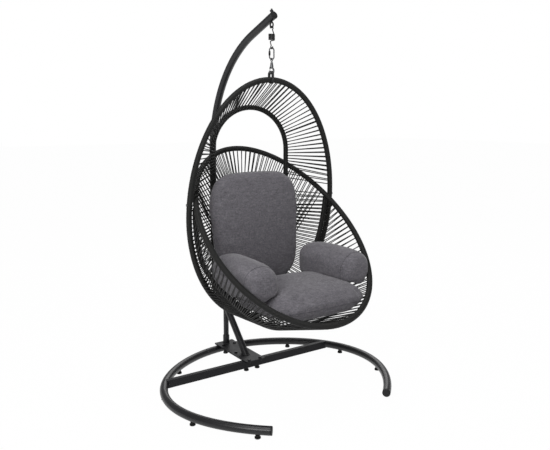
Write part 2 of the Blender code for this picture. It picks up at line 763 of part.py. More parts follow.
def build_suspension(root):
    hanger = empty("swing_axis", (0.0, HANG_Y, hook_top_z()), root)
    bounce = empty("bounce_axis", (0.0, HANG_Y, link_top_z()), hanger)
    sway = empty("sway_axis", (0.0, HANG_Y, swivel_top_z()), bounce)
    spin = empty("spin_axis", (0.0, HANG_Y, snap_top_z()), sway)
    add_spring(hanger)
    add_link(bounce)
    add_sleeve(bounce)
    add_swivel_eye(sway)
    add_snap_body(spin)
    add_gate(spin)
    add_loops(spin)
    return spin


def add_spring(hanger):
    """Upper hook across x, a close coil, and a lower hook across y."""
    axis = Vector((0.0, HANG_Y, 0.0))
    upper = circle_points(axis + Vector((0, 0, hook_top_z() - HOOK_R)), HOOK_R, X, Z,
                          math.radians(200), math.radians(-60), 12)
    lower = circle_points(axis + Vector((0, 0, hook_bottom_z() + HOOK_R)), HOOK_R, Y, Z,
                          math.radians(60), math.radians(-200), 12)
    coil = []
    steps = int(SPRING_TURNS * 12)
    for i in range(steps + 1):
        share = i / steps
        turn = 2 * math.pi * SPRING_TURNS * share
        z = SPRING_TOP_Z + (SPRING_BOTTOM_Z - SPRING_TOP_Z) * share
        coil.append(axis + Vector((SPRING_R * math.cos(turn), SPRING_R * math.sin(turn), z)))
    lead_in = axis + Vector((SPRING_R * 0.75, 0.0, SPRING_TOP_Z + 0.006))
    lead_out = axis + Vector((0.0, SPRING_R * 0.75, SPRING_BOTTOM_Z - 0.006))
    points = upper + [lead_in] + coil + [lead_out] + lower
    add_rod("spring", points, SPRING_WIRE_R, (BLACK, 0.35, 0.6), hanger,
            (0.0, HANG_Y, hook_top_z()), sides=6)


def stadium_points(half_width, half_height, start_gap):
    """A stadium in x and z around the origin, open by start_gap on its -x side."""
    straight = half_height - half_width
    points = [Vector((-half_width, 0.0, start_gap / 2)), Vector((-half_width, 0.0, straight))]
    points += circle_points((0, 0, straight), half_width, X, Z, math.pi * 0.9, math.pi * 0.1, 8)
    points += [Vector((half_width, 0.0, straight)), Vector((half_width, 0.0, -straight))]
    points += circle_points((0, 0, -straight), half_width, X, Z, -math.pi * 0.1, -math.pi * 0.9, 8)
    points += [Vector((-half_width, 0.0, -straight)), Vector((-half_width, 0.0, -start_gap / 2))]
    return points


def add_link(bounce):
    middle = Vector((0.0, HANG_Y, LINK_Z))
    points = [p + middle for p in stadium_points(LINK_HALF_WIDTH, LINK_HALF_HEIGHT, LINK_GAP)]
    add_rod("quick_link", points, LINK_WIRE_R, (ZINC, 0.25, 0.9), bounce,
            (0.0, HANG_Y, link_top_z()))


def add_sleeve(bounce):
    """The hexagonal screw sleeve over the link's gap."""
    place = Vector((-LINK_HALF_WIDTH, HANG_Y, LINK_Z))
    body = cylinder_mesh(SLEEVE_R, place.z - SLEEVE_LENGTH / 2, place.z + SLEEVE_LENGTH / 2,
                         place.x, place.y, sides=6)
    obj = add_piece("link_sleeve", body, (BLACK, 0.4, 0.6), bounce, tuple(place), smooth=False)
    bore = cylinder_mesh(LINK_WIRE_R + BOLT_HOLE_PLAY, place.z - 0.03, place.z + 0.03,
                         place.x, place.y)
    apply_boolean(obj, cutter("sleeve_bore", bore))


def add_swivel_eye(sway):
    """A ring on a pin whose head turns inside the snap hook's barrel."""
    ring = circle_points((0.0, HANG_Y, swivel_z()), SWIVEL_R, Y, Z)
    pin_top = swivel_z() - SWIVEL_R
    barrel_top = snap_top_z()
    pin = cylinder_mesh(0.0030, barrel_top - 0.010, pin_top + 0.001, 0.0, HANG_Y)
    head = cylinder_mesh(0.0046, barrel_top - 0.012, barrel_top - 0.008, 0.0, HANG_Y)
    obj = add_piece("swivel_eye", rod_mesh(ring, SWIVEL_WIRE_R, closed=True), (ZINC, 0.3, 0.9),
                    sway, (0.0, HANG_Y, swivel_top_z()))
    apply_boolean(obj, cutter("swivel_pin", pin), "UNION")
    apply_boolean(obj, cutter("swivel_pin_head", head), "UNION")


def snap_nose():
    return Vector((-SNAP_HALF_WIDTH, HANG_Y, SNAP_BOTTOM_Z + SNAP_HALF_WIDTH + 0.004))


def gate_pivot():
    return Vector((-SNAP_HALF_WIDTH + 0.0015, HANG_Y, snap_top_z() - 0.0235))


def add_snap_body(spin):
    """A barrel with a cavity for the pin's head, and a wire that hooks round below it."""
    top = snap_top_z()
    barrel = cylinder_mesh(HOOK_BODY_R, top - 0.021, top, 0.0, HANG_Y, top_radius=0.0060, sides=16)
    obj = add_piece("snap_hook", barrel, (ZINC, 0.35, 0.9), spin, (0.0, HANG_Y, top))
    low = SNAP_BOTTOM_Z + SNAP_HALF_WIDTH
    middle = Vector((0.0, HANG_Y, low))
    start = Vector((0.0025, HANG_Y, top - 0.018))
    shoulder = Vector((SNAP_HALF_WIDTH, HANG_Y, top - 0.029))
    bend = circle_points(middle, SNAP_HALF_WIDTH, X, Z, 0.0, -math.pi, 10)
    wire = rod_mesh([start, shoulder] + bend + [snap_nose()], SNAP_WIRE_R)
    apply_boolean(obj, cutter("snap_wire", wire), "UNION")
    ear = box_mesh((-SNAP_HALF_WIDTH - 0.001, HANG_Y - 0.0013, top - 0.0265),
                   (-0.002, HANG_Y + 0.0013, top - 0.016))
    apply_boolean(obj, cutter("gate_ear", ear), "UNION")
    pin_bore = cylinder_mesh(0.0030 + BOLT_HOLE_PLAY, top - 0.009, top + 0.01, 0.0, HANG_Y)
    head_room = cylinder_mesh(0.0050, top - 0.0135, top - 0.0072, 0.0, HANG_Y)
    apply_boolean(obj, cutter("pin_bore", pin_bore))
    apply_boolean(obj, cutter("pin_head_room", head_room))


def add_gate(spin):
    """The sprung gate: a forked rod from the ear down to the nose."""
    pivot = gate_pivot()
    low = snap_nose() + Vector((0.0005, 0.0, SNAP_WIRE_R + GAP + 0.0008))
    bar = rod_mesh([pivot, low], 0.0030)
    obj = add_piece("snap_gate", bar, (ZINC, 0.35, 0.9), spin, tuple(pivot))
    slot = box_mesh((pivot.x - 0.006, HANG_Y - 0.0013 - GAP, pivot.z - 0.0048),
                    (pivot.x + 0.010, HANG_Y + 0.0013 + GAP, pivot.z + 0.006))
    apply_boolean(obj, cutter("gate_fork", slot))


def add_loops(spin):
    """Two oval loops round the top of hoop A, carried by the snap hook."""
    top = SNAP_BOTTOM_Z + SNAP_WIRE_R + LOOP_WIRE_R + 0.0050
    tube_z = EGG_MID_Z + EGG_TOP_RISE
    bottom = tube_z - HOOP_R - LOOP_WIRE_R - 2 * GAP
    half_height = (top - bottom) / 2
    half_width = HOOP_R + LOOP_WIRE_R + 2.5 * GAP
    straight = half_height - half_width
    for side, name in ((1, "right"), (-1, "left")):
        middle = Vector((side * LOOP_X, HANG_Y, (top + bottom) / 2))
        points = circle_points(middle + Vector((0, 0, straight)), half_width, Y, Z, 0.0, math.pi, 8)
        points += circle_points(middle - Vector((0, 0, straight)), half_width, Y, Z,
                                math.pi, 2 * math.pi, 8)
        shift = Vector((0.0, egg_y(tube_z) - HANG_Y, 0.0))
        add_rod("hang_loop_" + name, [p + shift for p in points], LOOP_WIRE_R,
                (BLACK, 0.6, 0.2), spin, tuple(middle), closed=True)


# ---------------------------------------------------------------- egg


def build_egg(spin):
    wrap = (CORD_BLACK, 0.6, 0.0)
    steps = 60
    egg = [egg_point(2 * math.pi * i / steps) for i in range(steps)]
    add_rod("egg_hoop", egg, HOOP_R, wrap, spin, closed=True)
    half = rear_half_length()
    rear = [rear_point(-half + 2 * half * (i + 0.5) / steps) for i in range(steps)]
    add_rod("rear_hoop", rear, REAR_HOOP_R, wrap, spin, closed=True)
    rim = [rim_point(2 * math.pi * i / steps) for i in range(steps)]
    add_rod("seat_rim", rim, HOOP_R, wrap, spin, closed=True)
    end = math.pi / 2 - RIB_END / (RIB_TOP_Z - RIB_BOTTOM_Z)
    rib = [rib_point(-end + 2 * end * i / 48) for i in range(49)]
    add_rod("seat_rib", rib, RIB_R, wrap, spin)
    add_rim_bolts(spin)
    add_canopy_rods(spin)
    add_weaves(spin)


def add_rim_bolts(spin):
    """The bolt on each side, through the tall hoop and through the rim inside it."""
    for side, name in ((1, "right"), (-1, "left")):
        rim = rim_point(side * RIM_CROSS)
        outer = CROSS_X + HOOP_R + GAP
        inner = rim.x * side - HOOP_R - 0.006

        def at(x):
            return Vector((side * x, rim.y, rim.z))

        head = rod_mesh([at(outer), at(outer + 0.0035)], RIM_BOLT_HEAD_R, sides=12)
        shank = rod_mesh([at(inner), at(outer + 0.001)], RIM_BOLT_R)
        hole = rod_mesh([at(inner - 0.02), at(outer + 0.02)], RIM_BOLT_R + BOLT_HOLE_PLAY)
        obj = add_piece("rim_bolt_" + name, head, (ZINC, 0.3, 0.9), spin, tuple(at(outer)))
        apply_boolean(obj, cutter("rim_bolt_shank_" + name, shank), "UNION")
        bore = cutter("rim_bolt_bore_" + name, hole)
        apply_boolean(bpy.data.objects["egg_hoop"], bore)
        apply_boolean(bpy.data.objects["seat_rim"], bore)


def rear_along(turn):
    """Where on hoop B the cord from this turn of hoop A ends; level at the sides."""
    degrees = (0.0, CANOPY_END_DEG, LOWER_START_DEG, 180.0)
    lengths = (0.0, CANOPY_END_ALONG, LOWER_START_ALONG, rear_half_length())
    return math.copysign(float(np.interp(math.degrees(abs(turn)), degrees, lengths)), turn)


def canopy_pair(angle):
    """The two ends of one cord line between the hoops A and B."""
    turn = (angle + math.pi) % (2 * math.pi) - math.pi
    return egg_point(turn), rear_point(rear_along(turn))


def clear_ends(pair, tangents, radii):
    """The pair, shortened until each end stands clear of the round bar it points at."""
    way = (pair[1] - pair[0]).normalized()
    cuts = []
    for tangent, radius in zip(tangents, radii):
        across = math.sqrt(max(1.0 - way.dot(tangent.normalized()) ** 2, 0.05))
        cuts.append((radius + CORD_SEAT) / across)
    return shortened(pair[0], pair[1], cuts[0], cuts[1])


def hoop_pair_clear(angle):
    """A cord line between the hoops A and B, its ends clear of both."""
    step = 0.01
    before, after = canopy_pair(angle - step), canopy_pair(angle + step)
    tangents = (after[0] - before[0], after[1] - before[1])
    return clear_ends(canopy_pair(angle), tangents, (HOOP_R, REAR_HOOP_R))


def add_canopy_rods(spin):
    """One thin stiffener on each side, lying on the canopy cords from hoop to hoop."""
    for side, name in ((1, "right"), (-1, "left")):
        angle = side * math.radians(CANOPY_ROD_DEG)
        ends = hoop_pair_clear(angle)
        beside = canopy_pair(angle + 0.02)[0] - canopy_pair(angle - 0.02)[0]
        out = (ends[1] - ends[0]).cross(beside).normalized()
        if out.z < 0:
            out.negate()
        lift = out * (WEAVE / 2 + CANOPY_ROD_R + 2 * GAP)
        ends = shortened(ends[0] + lift, ends[1] + lift, 0.003, 0.003)
        add_rod("canopy_rod_" + name, ends, CANOPY_ROD_R, (CHARCOAL, 0.5, 0.2), spin)


def sheet(name, rows, spin):
    """A closed sheet through rows of points, WEAVE thick."""
    count = len(rows[0])
    verts = [tuple(p) for row in rows for p in row]
    faces = []
    for r in range(len(rows) - 1):
        for c in range(count - 1):
            first = r * count + c
            faces.append((first, first + 1, first + count + 1, first + count))
    mesh = bpy.data.meshes.new(name)
    mesh.from_pydata(verts, [], faces)
    obj = add_piece(name, mesh, (CORD_BLACK, 0.8, 0.0), spin)
    wall = obj.modifiers.new("thickness", "SOLIDIFY")
    wall.thickness = WEAVE
    wall.offset = 0.0
    return obj


def banded(first, last):
    """Rows from first to last, with an edge band at each end."""
    rows = []
    for share in (0.0, EDGE_BAND, 1 - EDGE_BAND, 1.0):
        rows.append([a + (b - a) * share for a, b in zip(first, last)])
    return rows


def hoop_to_hoop(angles):
    """Rows of points from hoop A to hoop B."""
    first, last = [], []
    for angle in angles:
        start, end = hoop_pair_clear(angle)
        first.append(start)
        last.append(end)
    return banded(first, last)


def open_between(obj, kept):
    """Opens the middle of a banded sheet, but for the bands of cord in the kept columns."""
    work = bmesh.new()
    work.from_mesh(obj.data)
    work.faces.ensure_lookup_table()
    open_columns = [c for c in range(SHEET_STEPS) if c not in kept]
    gone = [work.faces[SHEET_STEPS + column] for column in open_columns]
    bmesh.ops.delete(work, geom=gone, context="FACES")
    work.to_mesh(obj.data)
    work.free()


def mirrored_columns(first, step):
    """Every step-th column from first up to the middle, and the same counted from the end."""
    left = list(range(first, SHEET_STEPS // 2, step))
    return left + [SHEET_STEPS - 1 - column for column in left] + [0, SHEET_STEPS - 1]


def spread(start, end, steps):
    return [start + (end - start) * i / steps for i in range(steps + 1)]


def add_weaves(spin):
    top = math.radians(CANOPY_END_DEG)
    canopy = sheet("canopy_weave", hoop_to_hoop(spread(-top, top, SHEET_STEPS)), spin)
    open_between(canopy, mirrored_columns(1, 4))
    around = LOOP_X + LOOP_WIRE_R + 0.002
    top_z = EGG_MID_Z + EGG_TOP_RISE
    notch = box_mesh((-around, EGG_TOP_Y - LOOP_NOTCH_DEPTH, top_z - 0.05),
                     (around, EGG_TOP_Y + LOOP_NOTCH_DEPTH, top_z + 0.05))
    apply_boolean(canopy, cutter("loop_notch", notch))
    side = math.radians(LOWER_START_DEG)
    sheet("lower_weave", hoop_to_hoop(spread(side, 2 * math.pi - side, SHEET_STEPS)), spin)
    sheet("seat_weave", seat_rows(SHEET_STEPS), spin)
    sheet("back_weave", back_rows(16), spin)


def rib_share(share):
    """Where a cord that starts at this share of the rim's front half meets the rib."""
    return share - 0.7 * share * share * (1 - share)


def around_rib(angle, wrap_deg):
    """A point of the cords on the rib; the wrap runs from its front to its outer side."""
    wrap = math.radians(wrap_deg)
    way = rib_outward(angle) * math.sin(wrap) - Vector(Y) * math.cos(wrap)
    return rib_point(angle) + way * (RIB_R + WEAVE / 2 + 2 * CLEAR)


def seat_rows(steps):
    """Cord lines from the rim, under the rib, to the tall hoop's lower half."""
    rows = ([], [], [], [])
    for i in range(steps + 1):
        share = -0.93 + 1.86 * i / steps
        side = math.copysign(1.0, share)
        start = rim_point(RIM_CROSS * share)
        angle = side * math.pi / 2 * rib_share(abs(share))
        target = egg_point(math.pi - angle)
        free = (target - rib_point(angle)).length
        open_share = smoothstep((free - 0.04) / 0.06)
        front = around_rib(angle, 45.0)
        under = around_rib(angle, 60.0 + 35.0 * open_share)
        reach = max((target - under).length - HOOP_R - CLEAR - WEAVE, 0.0)
        tail = under + (target - under).normalized() * max(reach * open_share, 0.003)
        start, _ = shortened(start, front, HOOP_R + CORD_SEAT, 0.0)
        for row, point in zip(rows, (start, front, under, tail)):
            row.append(point)
    return banded(rows[0], rows[1]) + list(rows[2:])


def back_rows(steps):
    """Upright cord lines from the top of the rim to the foot of hoop B."""
    rows = ([], [], [])
    half = rear_half_length()
    for i in range(steps + 1):
        share = -1 + 2 * i / steps
        angle = math.pi - math.asin(BACK_WEAVE_X * share / RIM_HALF_WIDTH)
        start = rim_point(angle)
        foot = rear_point(math.copysign(half - 0.16 * abs(share), share if share else 1.0))
        foot = foot + Vector((0.0, REAR_HOOP_R + WEAVE / 2 + GAP, 0.0))
        start, foot = shortened(start, foot, HOOP_R + CLEAR + WEAVE / 2, 0.0)
        for row, point in zip(rows, (start, (start + foot) / 2, foot)):
            row.append(point)
    return rows


# ---------------------------------------------------------------- cushions


def pillow(name, middle, size, spin, pinch=(1.0, 1.0, 1.0), cuts=3):
    """A soft block: a cage of cubes, its outer rows drawn in, under a subdivision surface."""
    work = bmesh.new()
    bmesh.ops.create_cube(work, size=1.0)
    bmesh.ops.subdivide_edges(work, edges=work.edges, cuts=cuts, use_grid_fill=True)
    for vert in work.verts:
        outer = [abs(c) > 0.49 for c in vert.co]
        if sum(outer) < 2:
            continue
        for axis in range(3):
            if outer[axis]:
                vert.co[axis] *= pinch[axis]
    bmesh.ops.scale(work, verts=work.verts, vec=size)
    bmesh.ops.translate(work, verts=work.verts, vec=middle)
    mesh = bpy.data.meshes.new(name)
    work.to_mesh(mesh)
    work.free()
    obj = add_piece(name, mesh, (CLOTH_GREY, 0.9, 0.0), spin, middle)
    soft = obj.modifiers.new("soft", "SUBSURF")
    soft.levels = 1
    soft.render_levels = 1
    return obj


def settle(obj, supports, gap):
    """Bakes the soft shape, then lifts its underside clear of what it lies on."""
    bpy.context.view_layer.update()
    graph = bpy.context.evaluated_depsgraph_get()
    trees = [BVHTree.FromObject(support, graph) for support in supports]
    frames = [support.matrix_world.copy() for support in supports]
    mesh = bpy.data.meshes.new_from_object(obj.evaluated_get(graph))
    obj.modifiers.clear()
    obj.data = mesh
    down = Vector((0.0, 0.0, -1.0))
    around = [Vector((SETTLE_REACH * x, SETTLE_REACH * y, 0.1)) for x, y in SETTLE_SIDES]
    for vert in mesh.vertices:
        at = obj.matrix_world @ vert.co
        lift = 0.0
        for tree, frame in zip(trees, frames):
            for side in around:
                hit = tree.ray_cast(frame.inverted() @ (at + side), down)[0]
                if hit is not None:
                    lift = max(lift, (frame @ hit).z + gap - at.z)
        vert.co.z += lift


def world_tree(obj, shift=Vector((0.0, 0.0, 0.0))):
    """A search tree of the finished shape in world coordinates, moved by shift."""
    shape = obj.evaluated_get(bpy.context.evaluated_depsgraph_get()).data
    shape.calc_loop_triangles()
    corners = [obj.matrix_world @ vert.co + shift for vert in shape.vertices]
    return BVHTree.FromPolygons(corners, [list(tri.vertices) for tri in shape.loop_triangles])


def rest(obj, supports, way):
    """Moves a cushion along way until it lies SEAT_GAP short of the first support."""
    bpy.context.view_layer.update()
    way = Vector(way)
    trees = [world_tree(support) for support in supports]
    free, step = 0.0, 0.016
    while step > SEAT_GAP / 4 and free < FREE_WAY:
        moved = world_tree(obj, way * (free + step))
        if any(moved.overlap(tree) for tree in trees):
            step /= 2
        else:
            free += step
    obj.data.transform(Matrix.Translation(way * (free - SEAT_GAP)))


def build_cushions(spin):
    pieces = bpy.data.objects
    down, back = (0.0, 0.0, -1.0), (0.0, 1.0, 0.0)
    bowl = [pieces["seat_weave"], pieces["seat_rib"], pieces["lower_weave"]]
    seat = pillow("seat_cushion", *SEAT_CUSHION, spin, pinch=(0.92, 0.92, 0.62))
    settle(seat, bowl, SEAT_LIFT)
    leaning = pillow("back_cushion", *BACK_CUSHION, spin, pinch=(0.92, 0.70, 0.92))
    settle(leaning, [], 0.0)
    nest = bowl + [seat, pieces["seat_rim"]]
    (x, y, z), size = BOLSTER
    bolsters = [pillow("bolster_" + name, (side * x, y, z), size, spin, pinch=(0.78, 0.95, 0.78))
                for side, name in ((1, "right"), (-1, "left"))]
    right, left = bolsters
    right.data.transform(Matrix.Rotation(math.radians(BOLSTER_YAW_DEG), 4, "Z"))
    settle(right, nest, BOLSTER_LIFT)
    left.modifiers.clear()
    left.data = right.data.copy()
    left.data.transform(Matrix.Scale(-1.0, 4, (1.0, 0.0, 0.0)))
    left.data.flip_normals()
    open_between(pieces["seat_weave"], mirrored_columns(3, 4))
    rest(seat, bowl, down)
    rest(leaning, [pieces["rear_hoop"], pieces["lower_weave"]], back)
    rest(leaning, [seat, pieces["lower_weave"]], down)
    for bolster in bolsters:
        rest(bolster, nest, down)


def main():
    root = empty("chair_origin", (0.0, 0.0, 0.0))
    root.location = (0.0, CENTRE_SHIFT_Y, 0.0)
    build_base(root)
    build_mast(root)
    spin = build_suspension(root)
    build_egg(spin)
    build_cushions(spin)


main()
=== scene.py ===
"""The looks of the hanging egg chair: corded hoops, cord runs, cushions, paint and light.

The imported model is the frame. Every length is in metres, +Z is up and the open front of
the basket faces -Y. The hoops' formulas are those of the part's source, whose y values
are counted from the middle of the base ring; MIDDLE_Y moves them into the model's frame.
"""

import logging
import math
from dataclasses import dataclass, field
from enum import Enum
from typing import Callable, Sequence
import bmesh
import bpy
import numpy as np
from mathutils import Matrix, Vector
from mathutils.bvhtree import BVHTree
from numpy.typing import NDArray


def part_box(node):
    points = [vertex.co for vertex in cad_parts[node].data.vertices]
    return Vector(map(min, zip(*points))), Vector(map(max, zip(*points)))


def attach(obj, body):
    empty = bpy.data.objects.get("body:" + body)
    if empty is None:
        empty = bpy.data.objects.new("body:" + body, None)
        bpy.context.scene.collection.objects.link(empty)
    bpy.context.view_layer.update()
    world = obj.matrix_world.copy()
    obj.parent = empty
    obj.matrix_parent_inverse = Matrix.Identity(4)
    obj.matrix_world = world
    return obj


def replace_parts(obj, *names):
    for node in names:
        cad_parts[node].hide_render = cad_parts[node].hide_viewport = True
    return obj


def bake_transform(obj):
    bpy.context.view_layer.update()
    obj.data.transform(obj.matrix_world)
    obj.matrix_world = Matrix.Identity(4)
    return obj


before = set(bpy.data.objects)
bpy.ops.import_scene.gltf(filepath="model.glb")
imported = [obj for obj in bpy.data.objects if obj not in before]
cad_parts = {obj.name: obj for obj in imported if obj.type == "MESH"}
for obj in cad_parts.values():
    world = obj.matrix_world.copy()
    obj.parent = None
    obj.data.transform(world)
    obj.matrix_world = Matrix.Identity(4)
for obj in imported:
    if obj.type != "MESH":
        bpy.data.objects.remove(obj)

Array = NDArray[np.float64]
Colour = tuple[float, float, float]
Profile = tuple[tuple[float, float], ...]

LOG = logging.getLogger("egg_chair")
MIDDLE_Y = -0.1193
GAP = 0.0003
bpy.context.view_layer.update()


class Body(Enum):
    """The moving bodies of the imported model."""

    STAND = "stand"
    HANGER = "hanger"
    LINK = "link"
    SWIVEL = "swivel"
    EGG = "egg"


class Slot(Enum):
    """Names of the material slots."""

    PAINT = "frame_paint"
    PLASTIC = "black_plastic"
    RUBBER = "foot_rubber"
    ZINC = "zinc_steel"
    BLACK_STEEL = "black_steel"
    WRAP = "cord_wrapped_tube"
    CORD = "cord"
    CLOTH = "cushion_cloth"


# ---------------------------------------------------------------- arrays


def unit(vectors: Array) -> Array:
    """Vectors divided by their own length, along the last axis."""
    return vectors / np.maximum(np.linalg.norm(vectors, axis=-1, keepdims=True), 1e-12)


def smooth(share: Array) -> Array:
    """The smooth step 3s^2 - 2s^3 of a share held between 0 and 1."""
    held = np.clip(share, 0.0, 1.0)
    return held * held * (3.0 - 2.0 * held)


def along_path(paths: Array, closed: bool) -> Array:
    """Running length along each path.

    Args:
        paths: Points, shape (paths, points, 3).
        closed: Whether the last point joins the first.

    Returns:
        Lengths, shape (paths, points) or one column more when closed.
    """
    ends = np.concatenate([paths, paths[:, :1]], axis=1) if closed else paths
    steps = np.linalg.norm(np.diff(ends, axis=1), axis=2)
    return np.concatenate([np.zeros((len(paths), 1)), np.cumsum(steps, axis=1)], axis=1)


def even_steps(curve: Callable[[Array], Array], start: float, end: float, count: int) -> Array:
    """Parameters at which a curve's points lie at equal distances along it.

    Args:
        curve: Gives points (n, 3) for n parameters.
        start: First parameter.
        end: Last parameter.
        count: How many parameters come back, both ends among them.

    Returns:
        The parameters, read back from the running length over 2000 fine steps.
    """
    fine = np.linspace(start, end, 2001)
    length = along_path(curve(fine)[None], False)[0]
    return np.interp(np.linspace(0.0, length[-1], count), length, fine)


# ---------------------------------------------------------------- meshes


def quad_mesh(name: str, points: Array, quads: NDArray, caps: NDArray, uv: Array) -> bpy.types.Mesh:
    """A smooth mesh from whole arrays.

    Args:
        name: Name of the mesh.
        points: Corner places, shape (n, 3).
        quads: Corner numbers of the four-sided faces.
        caps: Corner numbers of the end faces, all with the same number of corners.
        uv: One pair for each corner of each quad, in face order.

    Returns:
        The mesh, with a UV map in which the end faces sit at zero.
    """
    mesh = bpy.data.meshes.new(name)
    corners = np.concatenate([quads.ravel(), caps.ravel()]).astype(np.int32)
    quad_starts = np.arange(len(quads)) * 4
    cap_starts = len(quads) * 4 + np.arange(len(caps)) * (caps.shape[1] if caps.size else 0)
    starts = np.concatenate([quad_starts, cap_starts]).astype(np.int32)
    mesh.vertices.add(len(points))
    mesh.vertices.foreach_set("co", np.ascontiguousarray(points, dtype=np.float32).ravel())
    mesh.loops.add(len(corners))
    mesh.loops.foreach_set("vertex_index", corners)
    mesh.polygons.add(len(starts))
    mesh.polygons.foreach_set("loop_start", starts)
    layer = mesh.uv_layers.new(name="UVMap")
    pairs = np.zeros((len(corners), 2), dtype=np.float32)
    pairs[: len(quads) * 4] = uv.reshape(-1, 2)
    layer.data.foreach_set("uv", pairs.ravel())
    mesh.update(calc_edges=True)
    mesh.shade_smooth()
    return mesh


def tubes(name: str, paths: Array, across: Array, radius: Array | float, sides: int,
          closed: bool = False, uv_step: float = 0.0035) -> bpy.types.Mesh:
    """Round bars carried along paths.

    At each point the cross-section is centre + r (cos f e1 + sin f e2), where e1 is the
    given direction made square to the path and e2 is the path's direction crossed with it.

    Args:
        name: Name of the mesh.
        paths: Middle lines, shape (bars, points, 3).
        across: A direction never parallel to the path, in any shape that spreads to paths.
        radius: One number, or an array that spreads to (bars, points, sides).
        sides: Corners of the cross-section.
        closed: Whether each path joins its own start.
        uv_step: Length along the path that one unit of U stands for.

    Returns:
        One mesh of all the bars; open bars have flat end faces.
    """
    bars, count = paths.shape[:2]
    if closed:
        ahead, behind = np.roll(paths, -1, axis=1), np.roll(paths, 1, axis=1)
        heading = unit(ahead - behind)
    else:
        heading = unit(np.gradient(paths, axis=1))
    side = np.broadcast_to(across, paths.shape)
    first = unit(side - heading * np.sum(side * heading, axis=-1, keepdims=True))
    second = np.cross(heading, first)
    turn = np.arange(sides) * 2.0 * np.pi / sides
    ring = (np.cos(turn)[:, None] * first[:, :, None, :]
            + np.sin(turn)[:, None] * second[:, :, None, :])
    reach = np.broadcast_to(radius, (bars, count, sides))[..., None]
    points = (paths[:, :, None, :] + reach * ring).reshape(-1, 3)
    number = np.arange(bars * count * sides).reshape(bars, count, sides)
    here = number if closed else number[:, :-1]
    there = np.roll(number, -1, axis=1) if closed else number[:, 1:]
    quads = np.stack([here, np.roll(here, -1, axis=2), np.roll(there, -1, axis=2), there], axis=-1)
    caps = np.zeros((0, sides), dtype=np.int64)
    if not closed:
        caps = np.concatenate([number[:, 0, ::-1], number[:, -1, :]])
    length = along_path(paths, closed) / uv_step
    u = np.stack([length[:, :-1], length[:, :-1], length[:, 1:], length[:, 1:]], axis=-1)
    v = np.stack([np.arange(sides), np.arange(1, sides + 1)], axis=-1)[:, [0, 1, 1, 0]] / sides
    uv = np.stack(np.broadcast_arrays(u[:, :, None, :], v[None, None]), axis=-1)
    return quad_mesh(name, points, quads.reshape(-1, 4), caps, uv)


def lathe(name: str, profile: Sequence[tuple[float, float]], centre: Sequence[float],
          axis: Sequence[float], sides: int = 32, turned: float = 0.0) -> bpy.types.Mesh:
    """A profile of (radius, height) turned once round an axis; its ends close on the axis.

    Args:
        name: Name of the mesh.
        profile: Pairs from the first end to the last.
        centre: The point at height 0.
        axis: Direction of growing height.
        sides: Steps round the axis.
        turned: Angle of the first corner in radians.

    Returns:
        The closed mesh; a profile end with a radius keeps a flat end face.
    """
    pairs = np.array(profile, dtype=float)
    if np.sum((pairs[1:, 0] + pairs[:-1, 0]) * np.diff(pairs[:, 1])) < 0:
        pairs = pairs[::-1]
    way = unit(np.array(axis, dtype=float))
    path = np.array(centre, dtype=float) + pairs[:, 1:2] * way
    aside = np.array([1.0, 0.0, 0.0]) if abs(way[0]) < 0.9 else np.array([0.0, 1.0, 0.0])
    first = unit(np.cross(np.cross(way, aside), way))
    second = np.cross(way, first)
    turn = turned + np.arange(sides) * 2.0 * np.pi / sides
    ring = np.cos(turn)[:, None] * first + np.sin(turn)[:, None] * second
    points = (path[:, None] + pairs[:, :1, None] * ring[None]).reshape(-1, 3)
    number = np.arange(len(points)).reshape(len(pairs), sides)
    here, there = number[:-1], number[1:]
    quads = np.stack([here, np.roll(here, -1, 1), np.roll(there, -1, 1), there], axis=-1)
    caps = np.stack([number[0, ::-1], number[-1]])
    return quad_mesh(name, points, quads.reshape(-1, 4), caps, np.zeros((quads.size // 4 * 4, 2)))


def together(name: str, parts: Sequence[bpy.types.Mesh]) -> bpy.types.Mesh:
    """One mesh that holds several finished shapes.

    Args:
        name: Name of the mesh.
        parts: The shapes, each in its place.

    Returns:
        The mesh, smooth with its sharp edges kept.
    """
    work = bmesh.new()
    for part in parts:
        work.from_mesh(part)
    mesh = bpy.data.meshes.new(name)
    work.to_mesh(mesh)
    work.free()
    crisp(mesh)
    return mesh


def crisp(mesh: bpy.types.Mesh, degrees: float = 38.0) -> None:
    """Shades a mesh smooth, but sharp where faces meet at more than this angle."""
    mesh.shade_smooth()
    mesh.set_sharp_from_angle(angle=math.radians(degrees))


def place(mesh: bpy.types.Mesh, name: str, body: Body,
          material: bpy.types.Material) -> bpy.types.Object:
    """Puts a mesh in the scene as a piece that rides on a body.

    Args:
        mesh: The finished shape, its place in its own corners.
        name: Name of the piece.
        body: What it moves with.
        material: Its finish.

    Returns:
        The new object.
    """
    mesh.materials.clear()
    mesh.materials.append(material)
    piece = bpy.data.objects.new(name, mesh)
    bpy.context.scene.collection.objects.link(piece)
    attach(piece, body.value)
    return piece


def dress(material: bpy.types.Material, *nodes: str) -> None:
    """Gives CAD nodes a material in place of their plain one.

    Args:
        material: The finish.
        nodes: Names of the nodes.
    """
    for node in nodes:
        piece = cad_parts[node]
        for holder in piece.material_slots:
            holder.link = "OBJECT"
            holder.material = material


# ---------------------------------------------------------------- finishes


